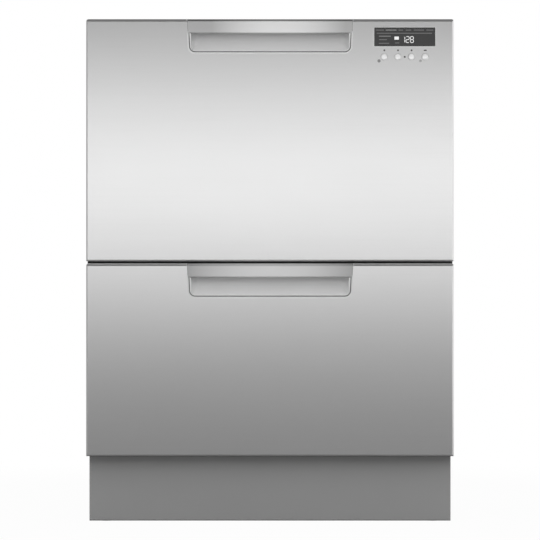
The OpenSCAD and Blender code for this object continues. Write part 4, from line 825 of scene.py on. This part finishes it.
# %% [markdown]
# ## The edge of each scoop
#
# The steel is folded back round the opening of a scoop, and the moulding's own edge is rounded. The
# fold is a sloping strip in pale matt paint, partly its slope and partly a painted highlight, and a
# near-black strip fills the gap between the fold and the moulding and the rim beside it, a painted
# shadow. Each of the three is a strip that follows the outline of the opening, from the top of the
# front down one side, along the bottom and up the other side. The solids could carry these forms
# too, but they are thinner than a tenth of a millimetre in places, where a solid no longer cuts and
# packs well.

# %% The outline of an opening
POCKET_H = 55 * MM
POCKET_LOW_HALF, POCKET_TOP_HALF = 132.5 * MM, 134.5 * MM
POCKET_R = 11 * MM


def pocket_line(top, grow, start=0.0):
    """The opening's outline (x, z), grown by a distance, from start below the top and round.

    Its sides lean outwards by (top half - low half) / height, and its low corners are arcs.
    """
    foot = top - POCKET_H - grow
    lean = (POCKET_TOP_HALF - POCKET_LOW_HALF) / POCKET_H
    x0, x1 = POCKET_LOW_HALF + grow, POCKET_LOW_HALF + grow + lean * (POCKET_H - start)
    corners = [(-x1, 0, top - start), (-x0, 0, foot), (x0, 0, foot), (x1, 0, top - start)]
    return bent_line(corners, POCKET_R + grow)[:, [0, 2]]


def strip(top, edges, start=0.0):
    """A surface between outlines, one row for each edge (grow, depth behind the fronts' face)."""
    rows = []
    for grow, depth in edges:
        line = pocket_line(top, grow, start)
        rows.append(np.stack([line[:, 0], np.full(len(line), FRONT_Y + depth), line[:, 1]], axis=-1))
    grid = np.array(rows)
    return grid.reshape(-1, 3), quads(len(rows), grid.shape[1], ring_columns=False)


# %% Folds, seams and rounded edges of the scoops
# The edges (grow, depth) of each strip. The low ones follow only the part of the opening below the
# grip bar, which starts RIM_DROP under the top, where the moulding has a rim of its own.
RIM_DROP = 19.5 * MM
# The fold is a sloping strip in pale paint: partly its slope, partly a painted highlight.
HIGHLIGHT_FOLD = [(1.12 * MM, 0.02 * MM), (0.45 * MM, 0.40 * MM)]
LOW_HIGHLIGHT_FOLD = [(0.45 * MM, 0.40 * MM), (-0.90 * MM, 0.50 * MM)]
# The seams are near-black strips where the gap and the rim lie in shade: a painted shadow.
SHADOW_SEAM = [(0.45 * MM, 0.45 * MM), (-0.05 * MM, 0.50 * MM)]
LOW_SHADOW_SEAM = [(-0.90 * MM, 0.55 * MM), (-2.35 * MM, 0.56 * MM)]
# The rounded edge is half an ellipse round a middle (grow, depth)
EDGE_GROW, EDGE_DEPTH, EDGE_HALF_W, EDGE_RISE = -2.8 * MM, 0.61 * MM, 0.4 * MM, 0.5 * MM
half_turn = np.radians(np.linspace(0, 180, 7))
ROUNDED = list(zip(
    EDGE_GROW + EDGE_HALF_W * np.cos(half_turn), EDGE_DEPTH - EDGE_RISE * np.sin(half_turn),
))

for drawer_name in DRAWERS:
    front_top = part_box(f"{drawer_name}_grip_bar")[1].z
    body = f"{drawer_name}_drawer"
    highlight_folds = [strip(front_top, HIGHLIGHT_FOLD), strip(front_top, LOW_HIGHLIGHT_FOLD, RIM_DROP)]
    piece(f"{drawer_name}_scoop_fold_highlight", highlight_folds, rim_and_highlight_paint, body)
    shadow_seams = [strip(front_top, SHADOW_SEAM), strip(front_top, LOW_SHADOW_SEAM, RIM_DROP)]
    piece(f"{drawer_name}_scoop_gap_shadow", shadow_seams, gap_shadow_paint, body)
    edges = [strip(front_top, ROUNDED, RIM_DROP)]
    piece(f"{drawer_name}_scoop_edge", edges, rim_and_highlight_paint, body)


# %% [markdown]
# ## Screws and threads
#
# A hexagon screw with a washer is two turned forms, one of them with only six sides. The thread on
# the stem of a foot is one grid whose radius follows a saw with rounds in it, so it winds up the
# stem as a real thread does. It is very shallow, because the stem slides in its sleeve, and a bump
# and shade painted into the grooves of the finish make it look as deep as it is on a real foot.

# %% Screws on the back panel
# The panel's beads stand BACK_BEAD proud, and each pair of screws sits on the flat between two beads
BACK_BEAD = 4 * MM
BACK_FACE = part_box("back_panel")[1].y - BACK_BEAD
SCREW_X = 268 * MM
SCREW_HEIGHTS = (0.125, 0.305, 0.485, 0.665, 0.785)
# Profiles in millimetres: (radius, height over the panel)
WASHER = [(0, 0), (5.2, 0), (5.6, 0.3), (5.6, 0.9), (5.0, 1.2), (0, 1.2)]
HEAD = [(0, 1.0), (4.1, 1.0), (4.1, 4.0), (3.5, 4.6), (2.4, 4.6), (2.0, 4.1), (0, 4.1)]


def hex_screw(x, y, z):
    """A washer and a hexagonal head, both turned round a line that points backwards."""
    backwards = (0, 1, 0)
    return [
        turned(np.array(WASHER) * MM, (x, y, z), backwards),
        turned(np.array(HEAD) * MM, (x, y, z), backwards, sides=6),
    ]


screw_steel = steel("screw_steel", 0.62, 0.35, strokes=0.02)
screws = []
for screw_z in SCREW_HEIGHTS:
    for screw_x in (-SCREW_X, SCREW_X):
        screws += hex_screw(screw_x, BACK_FACE, screw_z)
piece("back_screws", screws, screw_steel, "cabinet", sharp=30)


# %% Steel of the threads
THREAD_PITCH = 1.75 * MM
GROOVE_RELIEF = 0.6 * MM


def threaded(name):
    """Zinc-plated steel, with shade painted into its grooves: light on its crests and dark in them.

    The crest goes up and down between 0 and 1 with the height: crest = |saw(z / pitch)|.
    """
    finish = Finish(name)
    height = finish.axes()[2]
    crest = height.maths("PINGPONG", height, THREAD_PITCH / 2) / (THREAD_PITCH / 2)
    dirt = finish.grain((200.0, 200.0, 200.0), detail=2.0)
    # The colour goes from light crests to dark grooves: painted shade.
    return finish.skin(
        Base_Color=finish.blend(crest * 0.8 + dirt * 0.2, grey(0.16), grey(0.62)), Metallic=0.85,
        Roughness=0.34 + dirt * 0.1, Normal=finish.relief(crest, GROOVE_RELIEF),
    )


thread_steel = threaded("thread_steel")
print("grooves of the threads are", THREAD_PITCH, "metres apart")


# %% Threads on the feet
# The thread starts over the foot's pad and ends below the top of its stem. Its crests stay inside
# the bore of the sleeve that the stem slides in.
THREAD_FROM, THREAD_TO = 0.0225, 0.1400
THREAD_CORE, THREAD_DEPTH = 5.01 * MM, 0.05 * MM


def thread(x, y, z0, z1, core, depth, pitch, sides=24, steps=12):
    """r(z, t) = core + depth * taper * (1 - 2 |part - 1/2|), where part is what is left of
    (z - z0) / pitch - t / 2 pi past a whole number, and taper lets both ends run out flat.
    """
    rows = int((z1 - z0) / pitch * steps) + 1
    heights, angles = np.linspace(z0, z1, rows), np.linspace(0, 2 * np.pi, sides, endpoint=False)
    z, t = np.meshgrid(heights, angles, indexing="ij")
    turn = (z - z0) / pitch - t / (2 * np.pi)
    taper = np.clip(np.minimum(z - z0, z1 - z) / pitch, 0, 1)
    r = core + depth * taper * (1 - 2 * np.abs(turn - np.floor(turn) - 0.5))
    grid = np.stack([x + r * np.cos(t), y + r * np.sin(t), z], axis=-1)
    return grid.reshape(-1, 3), quads(rows, sides)


for corner in ("front_left", "front_right", "rear_left", "rear_right"):
    foot_x, foot_y, _ = middle(f"foot_{corner}")
    stem = thread(foot_x, foot_y, THREAD_FROM, THREAD_TO, THREAD_CORE, THREAD_DEPTH, THREAD_PITCH)
    piece(f"foot_thread_{corner}", [stem], thread_steel, f"foot_{corner}", sharp=60)


# %% [markdown]
# ## Floor, world and lamps
#
# The picture has a white ground. The world is white to the camera, and the pale floor glows just
# enough to match it while it keeps a soft shadow. In front of the machine the room is dark, because
# brushed steel shows what stands before it: one long strip of light, which falls off above and
# below, gives the fronts their slow change from grey to white and back to grey. A picture of a
# studio round the machine would do the same, but these few even walls can be changed one by one.

# %% World
# How bright the room is for matt surfaces, and the walls that mirror-like ones see: the dark front,
# the back, both sides and the ceiling behind the machine's face
ROOM_LEVEL, DARK_LEVEL = 0.45, 0.175
BACK_WALL, LEFT_WALL, RIGHT_WALL, CEILING = 0.9, 0.46, 1.0, 0.5
# A direction points at a wall where its part towards that wall is over this
BEHIND_FROM, SIDE_FROM, CEILING_FROM = 0.05, 0.7, 0.8
world = bpy.data.worlds.new("studio")
bpy.context.scene.world = world
world.use_nodes = True
room = Finish("studio", world.node_tree)
across, behind, up = room.axes("Generated")
studio_wall = DARK_LEVEL + (behind > BEHIND_FROM) * (BACK_WALL - DARK_LEVEL)
walls = (
    (0.0 - across > SIDE_FROM, LEFT_WALL), (across > SIDE_FROM, RIGHT_WALL),
    ((up > CEILING_FROM) * (behind > BEHIND_FROM), CEILING),
)
for facing, wall in walls:
    studio_wall = studio_wall * (1.0 - facing) + facing * wall
mirrored, seen, passed = room.ray("Glossy"), room.ray("Camera"), room.ray("Transmission")
level = ROOM_LEVEL * (1.0 - mirrored) + studio_wall * mirrored
level = level * (1.0 - seen) + seen
level = level * (1.0 - passed) + passed
glow = room.node("ShaderNodeBackground", None, Color=grey(1.0), Strength=level)
room.node("ShaderNodeOutputWorld", None, Surface=glow)
print("the world has", len(room.tree.nodes), "nodes")


# %% Floor
FLOOR_HALF, FLOOR_FRONT, FLOOR_BACK = 1.7, -1.7, 1.9
# The camera sees FLOOR_GLOW of pure white near the machine, and all of it past the fade
FADE_FROM, FADE_TO, FLOOR_GLOW = 0.9, 1.6, 0.97
# How pale the floor is under lamps, and how pale a mirror-like surface sees it
FLOOR_SHADE, MIRRORED_SHADE = 0.45, 0.22


def plate(name, half_x, y0, y1):
    """A flat rectangle on the ground, as one face."""
    mesh = bpy.data.meshes.new(name)
    corners = [(-half_x, y0, 0.0), (half_x, y0, 0.0), (half_x, y1, 0.0), (-half_x, y1, 0.0)]
    mesh.from_pydata(corners, [], [(0, 1, 2, 3)])
    thing = bpy.data.objects.new(name, mesh)
    bpy.context.scene.collection.objects.link(thing)
    return thing


floor = plate("floor", FLOOR_HALF, FLOOR_FRONT, FLOOR_BACK)
ground = Finish("floor")
x, y, _ = ground.axes()
reach = (x * x + y * y) ** 0.5
fade = ground.node("ShaderNodeMapRange", {"clamp": True}, reach, FADE_FROM, FADE_TO, 0.0, 1.0)
pale = ground.blend(ground.ray("Glossy"), grey(FLOOR_SHADE), grey(MIRRORED_SHADE))
matt = ground.node("ShaderNodeBsdfDiffuse", None, Color=pale)
white = ground.node("ShaderNodeEmission", None, Color=grey(1.0), Strength=1.0)
share = ground.ray("Camera") * (FLOOR_GLOW + fade * (1.0 - FLOOR_GLOW))
mixed = ground.node("ShaderNodeMixShader", None, share, matt, white)
floor.data.materials.append(ground.surface(mixed))
print("floor from", FLOOR_FRONT, "to", FLOOR_BACK)


# %% Lamps
def lamp(name, place, aim, width, height, power, in_metal=False):
    """A flat soft lamp of width by height metres at place, turned towards aim.

    It lights only the matt part of every surface or, with in_metal, only the mirror-like part.
    """
    data = bpy.data.lights.new(name, "AREA")
    data.shape = "RECTANGLE"
    data.size, data.size_y, data.energy = width, height, power
    thing = bpy.data.objects.new(name, data)
    bpy.context.scene.collection.objects.link(thing)
    thing.location = place
    toward = np.array(aim, float) - np.array(place, float)
    thing.rotation_euler = Vector(toward).to_track_quat("-Z", "Y").to_euler()
    thing.visible_camera = False
    thing.visible_diffuse = not in_metal
    thing.visible_glossy = in_metal
    return thing


# Two long lamps of different heights share one middle, so that their light falls off in two steps
LONG_LAMP_Z, LONG_LAMP_AHEAD, LONG_LAMP_W = 0.592, 1.2, 3.2
for tall, watts in ((0.25, 3.9), (0.50, 3.15)):
    place, aim = (0, FRONT_Y - LONG_LAMP_AHEAD, LONG_LAMP_Z), (0, 0, LONG_LAMP_Z)
    lamp(f"long_lamp_{tall}", place, aim, LONG_LAMP_W, tall, watts, True)
# Name, place, aim, width, height and power of the soft lamps
SOFT_LAMPS = (
    ("top_lamp", (0, -0.1, 2.3), (0, 0, 0), 2.2, 2.2, 9.0),
    ("front_lamp", (0, -1.9, 1.6), (0, -0.3, 0.3), 2.4, 2.0, 22.0),
    ("left_lamp", (-2.4, -0.4, 1.1), (0, 0, 0.4), 1.6, 1.6, 4.0),
    ("right_lamp", (2.4, -0.4, 1.1), (0, 0, 0.4), 1.6, 1.6, 9.0),
    ("back_lamp", (0, 2.6, 1.2), (0, 0, 0.4), 2.0, 1.4, 9.0),
)
for soft_lamp in SOFT_LAMPS:
    lamp(*soft_lamp)
print("lamps:", len(bpy.data.lights))

# %% [markdown]
# ## Camera
#
# The photograph looks at the machine from straight ahead and shows almost no perspective, so the
# camera stands far back with a long lens. Its height is the one that a point in the middle of the
# picture has on the fronts. An orthographic camera would show no perspective at all, but a long
# lens keeps the little that is left, such as a kick strip that looks smaller as it is set back.

# %% Camera
# The camera stands CAMERA_BACK before the fronts, and VIEW_WIDTH is what the picture spans on them
CAMERA_BACK, VIEW_WIDTH = 6.0, 0.8795
CAMERA_X, CAMERA_Z = 0.0, 0.4113
# Width of the camera's film, in the millimetres that Blender counts lenses in
FILM = 36.0
camera = bpy.data.cameras.new("camera")
camera.sensor_width = FILM
camera.lens = FILM * CAMERA_BACK / VIEW_WIDTH
camera.clip_end = 50.0
eye = bpy.data.objects.new("camera", camera)
bpy.context.scene.collection.objects.link(eye)
eye.location = (CAMERA_X, FRONT_Y - CAMERA_BACK, CAMERA_Z)
eye.rotation_euler = (math.radians(90), 0, 0)
bpy.context.scene.camera = eye
bpy.context.scene.view_settings.view_transform = "Standard"
print("lens of", round(camera.lens, 1), "mm at", tuple(eye.location))
